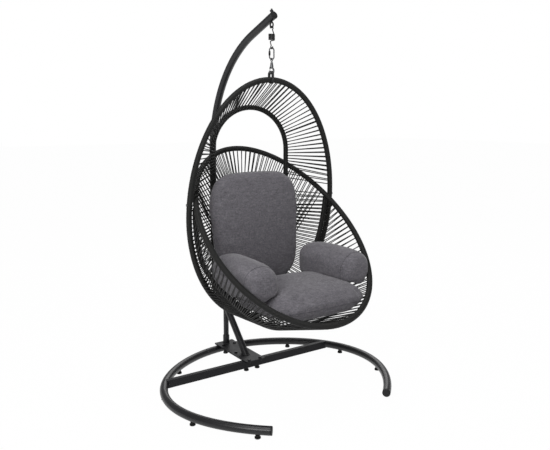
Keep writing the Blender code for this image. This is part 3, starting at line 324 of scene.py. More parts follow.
class Shading:
    """A material's node tree with short calls for the nodes used here."""

    def __init__(self, name: str) -> None:
        """Starts a material of that name with its standard shader.

        Args:
            name: Name of the material.
        """
        self.material = bpy.data.materials.new(name)
        self.material.use_nodes = True
        self.tree = self.material.node_tree
        self.shader = self.tree.nodes["Principled BSDF"]

    def node(self, kind: str, **settings: object) -> bpy.types.Node:
        """Adds a node and sets its own properties.

        Args:
            kind: Blender's name for the node.
            settings: Its properties and their values.

        Returns:
            The node.
        """
        made = self.tree.nodes.new(kind)
        for key, value in settings.items():
            setattr(made, key, value)
        return made

    def link(self, source: bpy.types.NodeSocket, target: bpy.types.NodeSocket) -> None:
        """Joins two sockets."""
        self.tree.links.new(source, target)

    def coords(self, kind: str = "Object", scale: tuple[float, float, float] = (1, 1, 1),
               turn: tuple[float, float, float] = (0, 0, 0)) -> bpy.types.NodeSocket:
        """Coordinates of the piece, stretched and turned by a mapping.

        Args:
            kind: Output of the coordinate node, Object or UV.
            scale: Stretch along each axis.
            turn: Turn about each axis in radians.

        Returns:
            The mapping's output socket.
        """
        source = self.node("ShaderNodeTexCoord")
        mapping = self.node("ShaderNodeMapping")
        mapping.inputs["Scale"].default_value = scale
        mapping.inputs["Rotation"].default_value = turn
        self.link(source.outputs[kind], mapping.inputs["Vector"])
        return mapping.outputs["Vector"]

    def noise(self, place_in: bpy.types.NodeSocket, scale: float, detail: float = 3.0,
              roughness: float = 0.55) -> bpy.types.NodeSocket:
        """Cloudy noise, 0 to 1, at that many cells for each metre.

        Args:
            place_in: Where the noise is read.
            scale: Cells for each metre.
            detail: Finer layers on top.
            roughness: Weight of the finer layers.

        Returns:
            The noise.
        """
        made = self.node("ShaderNodeTexNoise")
        made.inputs["Scale"].default_value = scale
        made.inputs["Detail"].default_value = detail
        made.inputs["Roughness"].default_value = roughness
        self.link(place_in, made.inputs["Vector"])
        return made.outputs["Fac"]

    def math(self, kind: str, first: bpy.types.NodeSocket | float,
             second: bpy.types.NodeSocket | float = 0.0) -> bpy.types.NodeSocket:
        """One sum or function of two values.

        Args:
            kind: Blender's name for the sum.
            first: A socket or a number.
            second: A socket or a number.

        Returns:
            The result.
        """
        made = self.node("ShaderNodeMath", operation=kind)
        for socket, value in zip(made.inputs, (first, second)):
            if isinstance(value, (int, float)):
                socket.default_value = value
            else:
                self.link(value, socket)
        return made.outputs["Value"]

    def span(self, value: bpy.types.NodeSocket, low: float, high: float,
             to_low: float, to_high: float) -> bpy.types.NodeSocket:
        """Maps low..high to to_low..to_high, held at the ends.

        Args:
            value: The value.
            low: Where the first range starts.
            high: Where it ends.
            to_low: Where the second range starts.
            to_high: Where it ends.

        Returns:
            The mapped value.
        """
        made = self.node("ShaderNodeMapRange")
        for name, number in (("From Min", low), ("From Max", high),
                             ("To Min", to_low), ("To Max", to_high)):
            made.inputs[name].default_value = number
        self.link(value, made.inputs["Value"])
        return made.outputs["Result"]

    def shades(self, value: bpy.types.NodeSocket,
               stops: Sequence[tuple[float, Colour]]) -> bpy.types.NodeSocket:
        """A colour read from stops of (place, colour).

        Args:
            value: Where the colour is read, 0 to 1.
            stops: The stops in order.

        Returns:
            The colour.
        """
        made = self.node("ShaderNodeValToRGB")
        ramp = made.color_ramp
        while len(ramp.elements) < len(stops):
            ramp.elements.new(0.5)
        for element, (at, colour) in zip(ramp.elements, stops):
            element.position = at
            element.color = (*colour, 1.0)
        self.link(value, made.inputs["Fac"])
        return made.outputs["Color"]

    def bump(self, height: bpy.types.NodeSocket, strength: float, distance: float,
             below: bpy.types.NodeSocket | None = None) -> bpy.types.NodeSocket:
        """A bump from a height; below is the bump that it lies on.

        Args:
            height: The height, 0 to 1.
            strength: Share of the bump that shows.
            distance: Length that a height of 1 stands for.
            below: The bump underneath, if there is one.

        Returns:
            The bumped direction.
        """
        made = self.node("ShaderNodeBump")
        made.inputs["Strength"].default_value = strength
        made.inputs["Distance"].default_value = distance
        self.link(height, made.inputs["Height"])
        if below is not None:
            self.link(below, made.inputs["Normal"])
        return made.outputs["Normal"]

    def set(self, **values: float) -> None:
        """Sets constants on the shader's own sockets, with _ for each space."""
        for key, value in values.items():
            self.shader.inputs[key.replace("_", " ")].default_value = value


def scaled(colour: Colour, share: float) -> Colour:
    """A colour made lighter or darker by a share."""
    return (colour[0] * share, colour[1] * share, colour[2] * share)


@dataclass(frozen=True)
class SatinPaint:
    """Baked powder paint: a fine orange peel, slow clouds of shade and a few dull rubs."""

    name: str
    colour: Colour
    roughness: float
    peel: float = 0.015
    shine: float = 0.40
    coat: float = 0.08

    def make(self) -> bpy.types.Material:
        """The material on Object coordinates.

        Returns:
            The new material.
        """
        s = Shading(self.name)
        at = s.coords()
        clouds = s.noise(at, 7.0, 4.0)
        s.link(s.shades(clouds, ((0.30, scaled(self.colour, 0.86)), (0.70, scaled(self.colour, 1.16)))),
               s.shader.inputs["Base Color"])
        rubs = s.noise(at, 38.0, 6.0, 0.7)
        s.link(s.span(rubs, 0.35, 0.75, self.roughness - 0.03, self.roughness + 0.07),
               s.shader.inputs["Roughness"])
        grain = s.bump(s.noise(at, 1500.0, 2.0), self.peel, 0.00035)
        s.link(s.bump(s.noise(at, 420.0, 2.0), self.peel, 0.0006, grain), s.shader.inputs["Normal"])
        s.set(Specular_IOR_Level=self.shine, Coat_Weight=self.coat, Coat_Roughness=0.22)
        return s.material


@dataclass(frozen=True)
class PlatedSteel:
    """Bright zinc plate: clouded, with fine drawn scratches along one axis."""

    name: str
    colour: Colour
    roughness: float
    metal: float = 1.0

    def make(self) -> bpy.types.Material:
        """The material on Object coordinates.

        Returns:
            The new material.
        """
        s = Shading(self.name)
        clouds = s.noise(s.coords(), 160.0, 4.0)
        s.link(s.shades(clouds, ((0.30, scaled(self.colour, 0.78)), (0.72, scaled(self.colour, 1.10)))),
               s.shader.inputs["Base Color"])
        drawn = s.noise(s.coords(scale=(1.0, 1.0, 0.06)), 1900.0, 3.0)
        s.link(s.span(drawn, 0.3, 0.7, self.roughness - 0.07, self.roughness + 0.12),
               s.shader.inputs["Roughness"])
        s.link(s.bump(drawn, 0.18, 0.0002), s.shader.inputs["Normal"])
        s.set(Metallic=self.metal)
        return s.material


@dataclass(frozen=True)
class Moulded:
    """Moulded plastic or rubber: a fine spark grain, dusty in cloudy patches."""

    name: str
    colour: Colour
    roughness: float
    grain: float

    def make(self) -> bpy.types.Material:
        """The material on Object coordinates.

        Returns:
            The new material.
        """
        s = Shading(self.name)
        at = s.coords()
        dust = s.noise(at, 55.0, 5.0, 0.65)
        s.link(s.shades(dust, ((0.35, self.colour), (0.80, scaled(self.colour, 1.9)))),
               s.shader.inputs["Base Color"])
        s.link(s.span(dust, 0.3, 0.8, self.roughness - 0.04, self.roughness + 0.10),
               s.shader.inputs["Roughness"])
        s.link(s.bump(s.noise(at, 2200.0, 2.0), self.grain, 0.0003), s.shader.inputs["Normal"])
        s.set(Specular_IOR_Level=0.32)
        return s.material


@dataclass(frozen=True)
class BraidedCord:
    """Braided outdoor cord: two families of strands cross in a fine diamond pattern.

    The height is the greater of two waves, sin(2 pi (u + v)) and sin(2 pi (u - v)), read
    from the piece's UV map, where u runs along the cord and v round it. The height also
    sets the colour: painted shade in the grooves between strands and a painted highlight on
    their crests, mixed with clouds and fibre of the cord's own tone.
    """

    name: str
    colour: Colour
    # light: colour of the strands' crests, a painted highlight.
    light: Colour
    roughness: float = 0.62

    def make(self) -> bpy.types.Material:
        """The material on the piece's UV map, with shade clouds on Object coordinates.

        Returns:
            The new material.
        """
        s = Shading(self.name)
        uv = s.node("ShaderNodeUVMap", uv_map="UVMap")
        parts = s.node("ShaderNodeSeparateXYZ")
        s.link(uv.outputs["UV"], parts.inputs["Vector"])
        whole_turn = 2.0 * math.pi
        left = s.math("ADD", parts.outputs["X"], s.math("MULTIPLY", parts.outputs["Y"], 2.0))
        right = s.math("SUBTRACT", parts.outputs["X"], s.math("MULTIPLY", parts.outputs["Y"], 2.0))
        waves = [s.math("SINE", s.math("MULTIPLY", side, whole_turn)) for side in (left, right)]
        height = s.span(s.math("MAXIMUM", waves[0], waves[1]), -1.0, 1.0, 0.0, 1.0)
        clouds = s.noise(s.coords(), 26.0, 4.0, 0.6)
        fibre = s.noise(s.coords(), 900.0, 2.0)
        # Painted shade and highlight: the braid's height darkens the grooves and lightens the crests in
        # the colour; clouds and fibre add random tone.
        mixed = s.math("ADD", s.math("MULTIPLY", height, 0.45),
                       s.math("ADD", s.math("MULTIPLY", clouds, 0.35), s.math("MULTIPLY", fibre, 0.25)))
        stops = ((0.30, scaled(self.colour, 0.6)), (0.58, self.colour), (0.88, self.light))
        s.link(s.shades(mixed, stops), s.shader.inputs["Base Color"])
        s.link(s.span(clouds, 0.3, 0.7, self.roughness - 0.08, self.roughness + 0.08),
               s.shader.inputs["Roughness"])
        s.link(s.bump(height, 0.55, 0.0006, s.bump(fibre, 0.2, 0.0003)), s.shader.inputs["Normal"])
        s.set(Sheen_Weight=0.03, Sheen_Roughness=0.5, Specular_IOR_Level=0.26)
        return s.material


@dataclass(frozen=True)
class MelangeCloth:
    """Melange cushion cloth: slubby crossing threads of dark and light grey, softly napped.

    Attributes:
        name: Name of the material.
        dark: Colour of the deepest threads.
        middle: Colour between.
        light: Colour of the palest threads.
        thread: Radians of the woven wave in each metre.
    """

    name: str
    dark: Colour
    middle: Colour
    light: Colour
    thread: float = 4200.0

    def make(self) -> bpy.types.Material:
        """The material on Object coordinates: level threads, upright threads and mottling.

        Returns:
            The new material.
        """
        s = Shading(self.name)
        level = s.noise(s.coords(scale=(0.14, 0.14, 1.0)), 620.0, 3.0, 0.6)
        upright = s.noise(s.coords(scale=(1.0, 1.0, 0.12)), 620.0, 3.0, 0.6)
        slubs = s.noise(s.coords(scale=(0.25, 0.25, 1.0)), 120.0, 3.0, 0.65)
        mottle = s.noise(s.coords(), 22.0, 4.0, 0.6)
        threads = s.math("MULTIPLY", s.math("ADD", level, upright), 0.36)
        mixed = s.math("ADD", threads, s.math("ADD", s.math("MULTIPLY", slubs, 0.20),
                                              s.math("MULTIPLY", mottle, 0.08)))
        s.link(s.shades(mixed, ((0.36, self.dark), (0.50, self.middle), (0.64, self.light))),
               s.shader.inputs["Base Color"])
        weft = s.math("SINE", s.math("MULTIPLY", self.axis(s, "Z"), self.thread))
        level_way = s.math("ADD", self.axis(s, "X"), self.axis(s, "Y"))
        warp = s.math("SINE", s.math("MULTIPLY", level_way, self.thread))
        weave = s.math("MULTIPLY", s.math("MULTIPLY", weft, warp), 0.5)
        fine = s.bump(s.math("ADD", threads, s.math("MULTIPLY", weave, 0.3)), 0.45, 0.0006)
        folds = s.noise(s.coords(scale=(1.0, 0.55, 0.8)), 9.0, 2.0)
        creases = s.math("ABSOLUTE", s.math("SUBTRACT", folds, 0.5))
        soft = s.bump(s.span(creases, 0.0, 0.16, 0.0, 1.0), 0.28, 0.0035, fine)
        s.link(s.bump(slubs, 0.25, 0.0012, soft), s.shader.inputs["Normal"])
        s.set(Roughness=0.93, Sheen_Weight=0.22, Sheen_Roughness=0.45, Specular_IOR_Level=0.18)
        return s.material

    @staticmethod
    def axis(s: Shading, name: str) -> bpy.types.NodeSocket:
        """One axis of the Object coordinates.

        Args:
            s: The material's nodes.
            name: X, Y or Z.

        Returns:
            The value on that axis.
        """
        parts = s.node("ShaderNodeSeparateXYZ")
        s.link(s.coords(), parts.inputs["Vector"])
        return parts.outputs[name]


@dataclass
class Finishes:
    """Every finish of the chair, made once."""

    paint: bpy.types.Material = field(init=False)
    plate: bpy.types.Material = field(init=False)
    zinc: bpy.types.Material = field(init=False)
    bolt: bpy.types.Material = field(init=False)
    black_steel: bpy.types.Material = field(init=False)
    plastic: bpy.types.Material = field(init=False)
    rubber: bpy.types.Material = field(init=False)
    cord: bpy.types.Material = field(init=False)
    wrap: bpy.types.Material = field(init=False)
    cloth: bpy.types.Material = field(init=False)
    seam: bpy.types.Material = field(init=False)

    def __post_init__(self) -> None:
        """Makes the materials."""
        self.paint = SatinPaint("charcoal_satin_paint", (0.0085, 0.0085, 0.0100), 0.36).make()
        self.plate = SatinPaint("plate_paint", (0.012, 0.012, 0.014), 0.46, 0.04, 0.18, 0.0).make()
        self.zinc = PlatedSteel("bright_zinc", (0.135, 0.138, 0.142), 0.36).make()
        self.bolt = PlatedSteel("black_zinc", (0.035, 0.035, 0.038), 0.36).make()
        self.black_steel = SatinPaint("blackened_steel", (0.0070, 0.0070, 0.0075), 0.32, 0.07).make()
        self.plastic = Moulded("black_cap_plastic", (0.0060, 0.0060, 0.0065), 0.46, 0.25).make()
        self.rubber = Moulded("foot_rubber_black", (0.0055, 0.0055, 0.0055), 0.74, 0.40).make()
        # The second colour of each cord is the painted highlight on the braid's crests; its grooves get
        # painted shade.
        self.cord = BraidedCord("dark_braided_cord", (0.0062, 0.0063, 0.0056),
                                (0.0145, 0.0145, 0.0132)).make()
        self.wrap = BraidedCord("dark_wrapped_cord", (0.0060, 0.0060, 0.0056),
                                (0.0140, 0.0140, 0.0130)).make()
        self.cloth = MelangeCloth("charcoal_melange_cloth", (0.058, 0.055, 0.062), (0.118, 0.112, 0.125),
                                  (0.215, 0.206, 0.224)).make()
        self.seam = MelangeCloth("charcoal_seam_cord", (0.044, 0.041, 0.047), (0.080, 0.076, 0.085),
                                 (0.135, 0.128, 0.141)).make()


# ---------------------------------------------------------------- hoops


@dataclass
class HoopShapes:
    """The four hoops of the basket as formulas, in the model's frame."""

    egg_middle_z: float = 0.9477
    egg_half_width: float = 0.4434
    egg_rise: float = 0.6634
    egg_drop: float = 0.6084
    egg_top_y: float = 0.0725
    egg_lean: float = -0.10
    rear_y: float = 0.275
    rear_half_width: float = 0.234
    rear_top_z: float = 1.473
    rear_bottom_z: float = 0.351
    rim_front_y: float = -0.474
    rim_front_z: float = 0.4633
    rim_half_length: float = 0.598
    rim_half_width: float = 0.44102
    rim_egg: float = 0.05
    rim_tilt: float = math.radians(40.8)
    rim_cross: float = 1.92274
    rib_half_width: float = 0.4113
    rib_top_z: float = 0.98805
    rib_bottom_z: float = 0.343
    rib_forward: float = 0.275
    rib_free_z: float = 0.702
    hoop_radius: float = 0.013
    rear_radius: float = 0.012

    def egg_y(self, z: Array) -> Array:
        """The tall hoop's plane: y falls by a tenth of the height."""
        top = self.egg_middle_z + self.egg_rise
        return MIDDLE_Y + self.egg_top_y + self.egg_lean * (z - top)

    def egg(self, turn: Array) -> Array:
        """Tall hoop: two half ellipses; turn runs from the top towards +x.

        Args:
            turn: Angles in radians.

        Returns:
            Points z = middle + reach cos t, x = half width sin t, with y from egg_y.
        """
        reach = np.where(np.cos(turn) > 0, self.egg_rise, self.egg_drop)
        z = self.egg_middle_z + reach * np.cos(turn)
        return np.stack([self.egg_half_width * np.sin(turn), self.egg_y(z), z], axis=-1)

    def rear_half_length(self) -> float:
        """Length of half the rear hoop."""
        return (self.rear_half_width * math.pi + self.rear_top_z - self.rear_bottom_z
                - 2 * self.rear_half_width)

    def rear(self, along: Array) -> Array:
        """Rear hoop, a stadium: quarter turn, straight, quarter turn; along runs from its top.

        Args:
            along: Lengths from the top, less than 0 on the -x side.

        Returns:
            Points on the two quarter circles and the straight between them.
        """
        radius = self.rear_half_width
        quarter = radius * math.pi / 2
        high, low = self.rear_top_z - radius, self.rear_bottom_z + radius
        run = np.abs(along)
        upper = np.minimum(run / radius, math.pi / 2)
        lower = np.clip((run - quarter - (high - low)) / radius, 0.0, math.pi / 2)
        straight = np.clip(run - quarter, 0.0, high - low)
        x = radius * np.sin(upper) * np.cos(lower)
        z = high + radius * np.cos(upper) - straight - radius * np.sin(lower)
        return np.stack([np.sign(along) * x, np.full_like(x, self.rear_y + MIDDLE_Y), z], axis=-1)

    def rim(self, angle: Array) -> Array:
        """Tilted rim: an egg-shaped oval; the angle runs from its low front towards +x.

        Args:
            angle: Angles in radians.

        Returns:
            Points whose x is half width sin a (1 + egg cos a), half length (1 - cos a) up the tilt.
        """
        along = self.rim_half_length * (1.0 - np.cos(angle))
        x = self.rim_half_width * np.sin(angle) * (1.0 + self.rim_egg * np.cos(angle))
        y = self.rim_front_y + MIDDLE_Y + along * math.cos(self.rim_tilt)
        return np.stack([x, y, self.rim_front_z + along * math.sin(self.rim_tilt)], axis=-1)

    def rib(self, angle: Array) -> Array:
        """Seat rib: half an ellipse that leaves the tall hoop forward as it drops.

        Args:
            angle: Angles in radians from the lowest point.

        Returns:
            Points z = top - drop cos a, x = half width sin a, y less a smooth step below rib_free_z.
        """
        z = self.rib_top_z - (self.rib_top_z - self.rib_bottom_z) * np.cos(angle)
        forward = self.rib_forward * smooth((self.rib_free_z - z) / (self.rib_free_z - self.rib_bottom_z))
        return np.stack([self.rib_half_width * np.sin(angle), self.egg_y(z) - forward, z], axis=-1)


@dataclass
class Cordage:
    """The cord-wrapped hoops and the taut cord runs between them.

    Attributes:
        shapes: The hoops' formulas.
        finishes: The chair's finishes.
        cord_radius: Radius of a cord.
        wrap_pitch: Width of one turn of the winding.
        wrap_over: Thickness of the winding over the tube.
        wrap_swell: How far each turn of it rises and falls.
        sink: How far a run's middle line lies beyond the winding, less the cord's radius.
        run_step: Distance between the cords of the canopy and the back.
        beside_loops: Distance from the hoop's top to its first cord.
        side_step: Distance between the cords of the sides.
        side_turn: Angle from the hoop's top at which the sides begin.
        seat_step: Distance between the cords of the seat.
        seat_inner: Share of the tube's radius at which the inner cords of the seat lie.
        rod_radius: Radius of the canopy's rods.
        bend_turns: Angles round a tube, in degrees, at which a cord's bend has its points.
        bend_rises: How far each of those points lies off the bend's circle.
        wrap_sides: Corners round a wound tube.
        rings_a_turn: Rings of corners in each turn of the winding.
    """

    shapes: HoopShapes
    finishes: Finishes
    cord_radius: float = 0.0028
    wrap_pitch: float = 0.0056
    wrap_over: float = 0.0014
    wrap_swell: float = 0.0007
    sink: float = 0.0011
    run_step: float = 0.01375
    beside_loops: float = 0.0125
    side_step: float = 0.0112
    side_turn: float = math.radians(84.0)
    seat_step: float = 0.0140
    seat_inner: float = -0.35
    rod_radius: float = 0.0046
    bend_turns: tuple[float, float, float] = (95.0, 60.0, 28.0)
    bend_rises: tuple[float, float, float] = (-0.0040, -0.0010, 0.0)
    wrap_sides: int = 12
    rings_a_turn: int = 5

    def wrapped(self, name: str, node: str, curve: Callable[[Array], Array], start: float, end: float,
                radius: float, across: Sequence[float], closed: bool) -> None:
        """A tube closely wound with cord.

        The radius is radius + over + swell cos(2 pi (s / pitch - f / 2 pi)), with s the length
        along the tube and f the turn round it, so that one ridge climbs as a screw.

        Args:
            name: Name of the piece.
            node: The CAD node that it stands for.
            curve: The tube's middle line.
            start: First parameter of the curve.
            end: Last parameter.
            radius: The tube's radius in the CAD model.
            across: A direction that the tube never follows.
            closed: Whether the tube is a closed hoop.
        """
        fine = curve(np.linspace(start, end, 2001))
        whole = along_path(fine[None], False)[0, -1]
        turns = round(whole / self.wrap_pitch)
        count = turns * self.rings_a_turn + (0 if closed else 1)
        steps = even_steps(curve, start, end, count + 1 if closed else count)
        path = curve(steps[:count])
        phase = np.arange(count)[:, None] / self.rings_a_turn
        round_it = np.arange(self.wrap_sides)[None] / self.wrap_sides
        ridge = np.cos(2.0 * np.pi * (phase - round_it))
        reach = radius + self.wrap_over + self.wrap_swell * ridge
        mesh = tubes(name, path[None], np.array(across), reach[None], self.wrap_sides, closed,
                     self.wrap_pitch)
        piece = place(mesh, name, Body.EGG, self.finishes.wrap)
        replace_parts(piece, node)
        LOG.info("%s: %d turns of cord", name, turns)

    def hoops(self) -> None:
        """The two upright hoops, the rim and the rib, all wound with cord."""
        h = self.shapes
        half = h.rear_half_length()
        self.wrapped("tall_hoop", "egg_hoop", h.egg, 0.0, 2 * math.pi, h.hoop_radius, (0, 1, 0), True)
        self.wrapped("back_hoop", "rear_hoop", h.rear, -half, half, h.rear_radius, (0, 1, 0), True)
        tilt = (0.0, -math.sin(h.rim_tilt), math.cos(h.rim_tilt))
        self.wrapped("tilted_rim", "seat_rim", h.rim, 0.0, 2 * math.pi, h.hoop_radius, tilt, True)
        self.wrapped("under_rib", "seat_rib", h.rib, -1.545, 1.545, h.rear_radius, (0, 1, 0.2), False)

    def runs(self, first: Array, last: Array, lift_first: Array, lift_last: Array,
             first_radius: float, last_radius: float) -> Array:
        """Middle lines of taut cords from bar to bar.

        Each line comes round the first bar, leaves it where it touches, runs straight and
        goes round the last bar: bar centre + (bar radius + cord radius) (cos t out + sin t way).

        Args:
            first: Points on the first bar's middle line, shape (n, 3).
            last: Points on the last bar's middle line.
            lift_first: Unit directions from the bar's middle to the cord.
            lift_last: The same at the last bar.
            first_radius: Radius of the first bar with its wrapping.
            last_radius: Radius of the last bar with its wrapping.

        Returns:
            Lines, shape (n, 9, 3).
        """
        way = unit(last - first)
        up_first = unit(lift_first - way * np.sum(lift_first * way, axis=1, keepdims=True))
        up_last = unit(lift_last - way * np.sum(lift_last * way, axis=1, keepdims=True))
        near = first_radius + self.sink - self.cord_radius
        far = last_radius + self.sink - self.cord_radius
        bend = list(zip(np.radians(self.bend_turns), self.bend_rises))
        points = [first + (near + r) * (np.cos(t) * up_first - np.sin(t) * way) for t, r in bend]
        start, end = first + near * up_first, last + far * up_last
        points += [start, (start + end) / 2, end]
        ends = [last + (far + r) * (np.cos(t) * up_last + np.sin(t) * way) for t, r in bend]
        return np.stack(points + ends[::-1], axis=1)

    def strung(self, name: str, node: str, lines: Array, across: Array) -> None:
        """One piece of many cords.

        Args:
            name: Name of the piece.
            node: The CAD node that it stands for.
            lines: The cords' middle lines, shape (n, points, 3).
            across: A direction for each cord that it never follows, shape (n, 3).
        """
        mesh = tubes(name, lines, across[:, None, :], self.cord_radius, 6)
        piece = place(mesh, name, Body.EGG, self.finishes.cord)
        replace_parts(piece, node)
        LOG.info("%s: %d cord runs", name, len(lines))

    def rear_along(self, turn: Array) -> Array:
        """Where on the rear hoop the cord from this turn of the tall hoop ends.

        Args:
            turn: Angles on the tall hoop in radians.

        Returns:
            Lengths from the rear hoop's top, read between four marks.
        """
        marks = np.radians([0.0, 77.0, 92.0, 180.0])
        lengths = np.array([0.0, 0.457, 0.677, self.shapes.rear_half_length()])
        return np.sign(turn) * np.interp(np.abs(turn), marks, lengths)

    def clear_of_rim(self, lines: Array) -> NDArray:
        """Which lines stay clear of the rim's wrapping.

        Args:
            lines: Middle lines, shape (n, points, 3).

        Returns:
            True for each line whose nearest way to the rim's middle line is long enough.
        """
        share = np.linspace(0.0, 1.0, 25)[None, :, None]
        samples = lines[:, 3:4] + (lines[:, 5:6] - lines[:, 3:4]) * share
        rim = self.shapes.rim(np.linspace(0.0, 2 * math.pi, 721))
        away = np.linalg.norm(samples[:, :, None] - rim[None, None], axis=-1).min(axis=(1, 2))
        return away > self.shapes.hoop_radius + self.wrap_over + 0.5 * self.cord_radius

    def shell(self) -> None:
        """The cords between the tall hoop and the rear hoop, outside and inside by turns."""
        h = self.shapes
        outer = even_steps(h.egg, 0.0, math.pi, 2001)
        length = along_path(h.egg(outer)[None], False)[0]
        high = np.arange(self.beside_loops, np.interp(self.side_turn, outer, length), self.run_step)
        low = np.arange(high[-1] + self.run_step, length[-1], self.side_step)
        right = np.interp(np.concatenate([high, low]), length, outer)
        turn = np.concatenate([-right[::-1], right])
        first, last = h.egg(turn), h.rear(self.rear_along(turn))
        beside = unit(h.egg(turn + 0.01) - h.egg(turn - 0.01))
        outward = unit(np.cross(last - first, beside))
        flip = np.sign(np.sum(outward * (first - np.array([0.0, 0.05, 0.95])), axis=1, keepdims=True))
        layer = np.where(np.arange(len(turn)) % 2 == 0, 1.0, -1.0)[:, None]
        lift = outward * flip * layer
        hoop, rear = h.hoop_radius + self.wrap_over, h.rear_radius + self.wrap_over
        lines = self.runs(first, last, lift, lift, hoop, rear)
        keep = self.clear_of_rim(lines)
        high = np.abs(turn) < self.side_turn
        self.strung("canopy_cords", "canopy_weave", lines[keep & high], beside[keep & high])
        self.strung("side_cords", "lower_weave", lines[keep & ~high], beside[keep & ~high])

    def seat(self) -> None:
        """The cords of the bowl, from the rim's front round the rib to the tall hoop's foot."""
        h = self.shapes
        reach = h.rim_cross * 0.95
        length = along_path(h.rim(np.linspace(-reach, reach, 801))[None], False)[0, -1]
        count = int(length / self.seat_step)
        angle = even_steps(h.rim, -reach, reach, count)
        share = np.abs(angle) / h.rim_cross
        side = np.sign(angle)
        rib_angle = side * math.pi / 2 * (share - 0.7 * share * share * (1 - share))
        first, middle = h.rim(angle), h.rib(rib_angle)
        beside = unit(h.rim(angle + 0.01) - h.rim(angle - 0.01))
        centre = np.array([0.0, -0.10, 0.95])
        out_rim = unit(np.cross(middle - first, beside))
        out_rim *= np.sign(np.sum(out_rim * (first - centre), axis=1, keepdims=True))
        layer = np.where(np.arange(count) % 2 == 0, 1.0, self.seat_inner)[:, None]
        along_rib = unit(h.rib(rib_angle + 0.01) - h.rib(rib_angle - 0.01))
        out_rib = unit(np.cross(middle - first, along_rib))
        out_rib *= np.sign(np.sum(out_rib * (middle - centre), axis=1, keepdims=True))
        rim_r, rib_r = h.hoop_radius + self.wrap_over, h.rear_radius + self.wrap_over
        front = self.runs(first, middle, out_rim * layer, out_rib, rim_r, rib_r)
        foot = h.egg(math.pi - rib_angle)
        far = np.linalg.norm(foot - middle, axis=1) > 0.055
        tail_out = unit(np.cross(foot - middle, along_rib))
        tail_out *= np.sign(np.sum(tail_out * (middle - centre), axis=1, keepdims=True))
        tail = self.runs(middle[far], foot[far], tail_out[far], tail_out[far] * layer[far], rib_r, rim_r)
        lines = np.concatenate([front, tail])
        self.strung("seat_cords", "seat_weave", lines, np.concatenate([beside, along_rib[far]]))

    def back(self) -> None:
        """The cords of the back, from the rim's rear to the foot of the rear hoop."""
        h = self.shapes
        start = h.rim_cross + 0.05
        length = along_path(h.rim(np.linspace(start, 2 * math.pi - start, 801))[None], False)[0, -1]
        count = int(length / self.run_step)
        angle = even_steps(h.rim, start, 2 * math.pi - start, count)
        first = h.rim(angle)
        cross = -0.17 * np.sin(np.pi * np.clip(np.abs(first[:, 0]) / 0.42, 0, 1)) * np.sign(first[:, 0])
        half = h.rear_half_length()
        foot_side = np.where(cross < 0, -1.0, 1.0)
        round_foot = h.rear_half_width * np.arcsin(np.abs(cross) / h.rear_half_width)
        foot = h.rear(foot_side * (half - round_foot))
        beside = unit(h.rim(angle + 0.01) - h.rim(angle - 0.01))
        out = unit(np.cross(foot - first, beside))
        out *= np.sign(out[:, 1:2])
        layer = np.where(np.arange(count) % 2 == 0, 1.0, -1.0)[:, None]
        rim_r, rear_r = h.hoop_radius + self.wrap_over, h.rear_radius + self.wrap_over
        behind = np.broadcast_to(np.array([0.0, 1.0, 0.0]), first.shape)
        lines = self.runs(first, foot, out * layer, behind, rim_r, rear_r)
        self.strung("back_cords", "back_weave", lines, beside)

    def rods(self) -> None:
        """The two stiff rods across the canopy, each along the longest axis of its CAD bar."""
        for side in ("left", "right"):
            points = Cushions.corners(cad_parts[f"canopy_rod_{side}"].data)
            middle = points.mean(axis=0)
            way = np.linalg.svd(points - middle, full_matrices=False)[2][0]
            reach = (points - middle) @ way
            line = middle + np.array([[reach.min()], [0.0], [reach.max()]]) * way
            mesh = tubes(f"stiff_rod_{side}", line[None], np.array((0.0, 0.3, 1.0)), self.rod_radius, 14)
            crisp(mesh)
            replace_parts(place(mesh, f"stiff_rod_{side}", Body.EGG, self.finishes.plate),
                        f"canopy_rod_{side}")

    def build(self) -> None:
        """Builds every hoop, every cord run and the rods."""
        self.hoops()
        self.rods()
        self.shell()
        self.seat()
        self.back()


# ---------------------------------------------------------------- cushions


@dataclass(frozen=True)
class Pad:
    """One cushion: its outline, crown and the side that shows.

    Attributes:
        node: The CAD node that it stands for.
        axes: The model's axes that serve as length, breadth and thickness.
        outline: How square its outline is, 2 for an oval.
        crown: How full its edge is, 2 for a round section.
        pull: Share by which its sides draw in between the corners.
        taper: Share by which its foot is narrower than its top.
        crown_rise: Share of its half length by which its top edge rises to the middle.
        lean: Share of its half breadth by which its foot stands to +x of its top.
        grow: Length added to each half size.
        shift: Length that its middle moves.
        facing: Direction of its open side, along which it may swell.
        fill: How tightly it is stuffed; not used.
        seams: Angles out of the plane of length and breadth at which its panels meet.
        yaw: Turn about z.
    """

    node: str
    axes: tuple[int, int, int]
    outline: float
    crown: float
    pull: float
    taper: float
    grow: tuple[float, float, float]
    shift: tuple[float, float, float]
    facing: tuple[float, float, float]
    fill: float
    seams: tuple[float, ...] = (0.0,)
    yaw: float = 0.0
    crown_rise: float = 0.0
    lean: float = 0.0


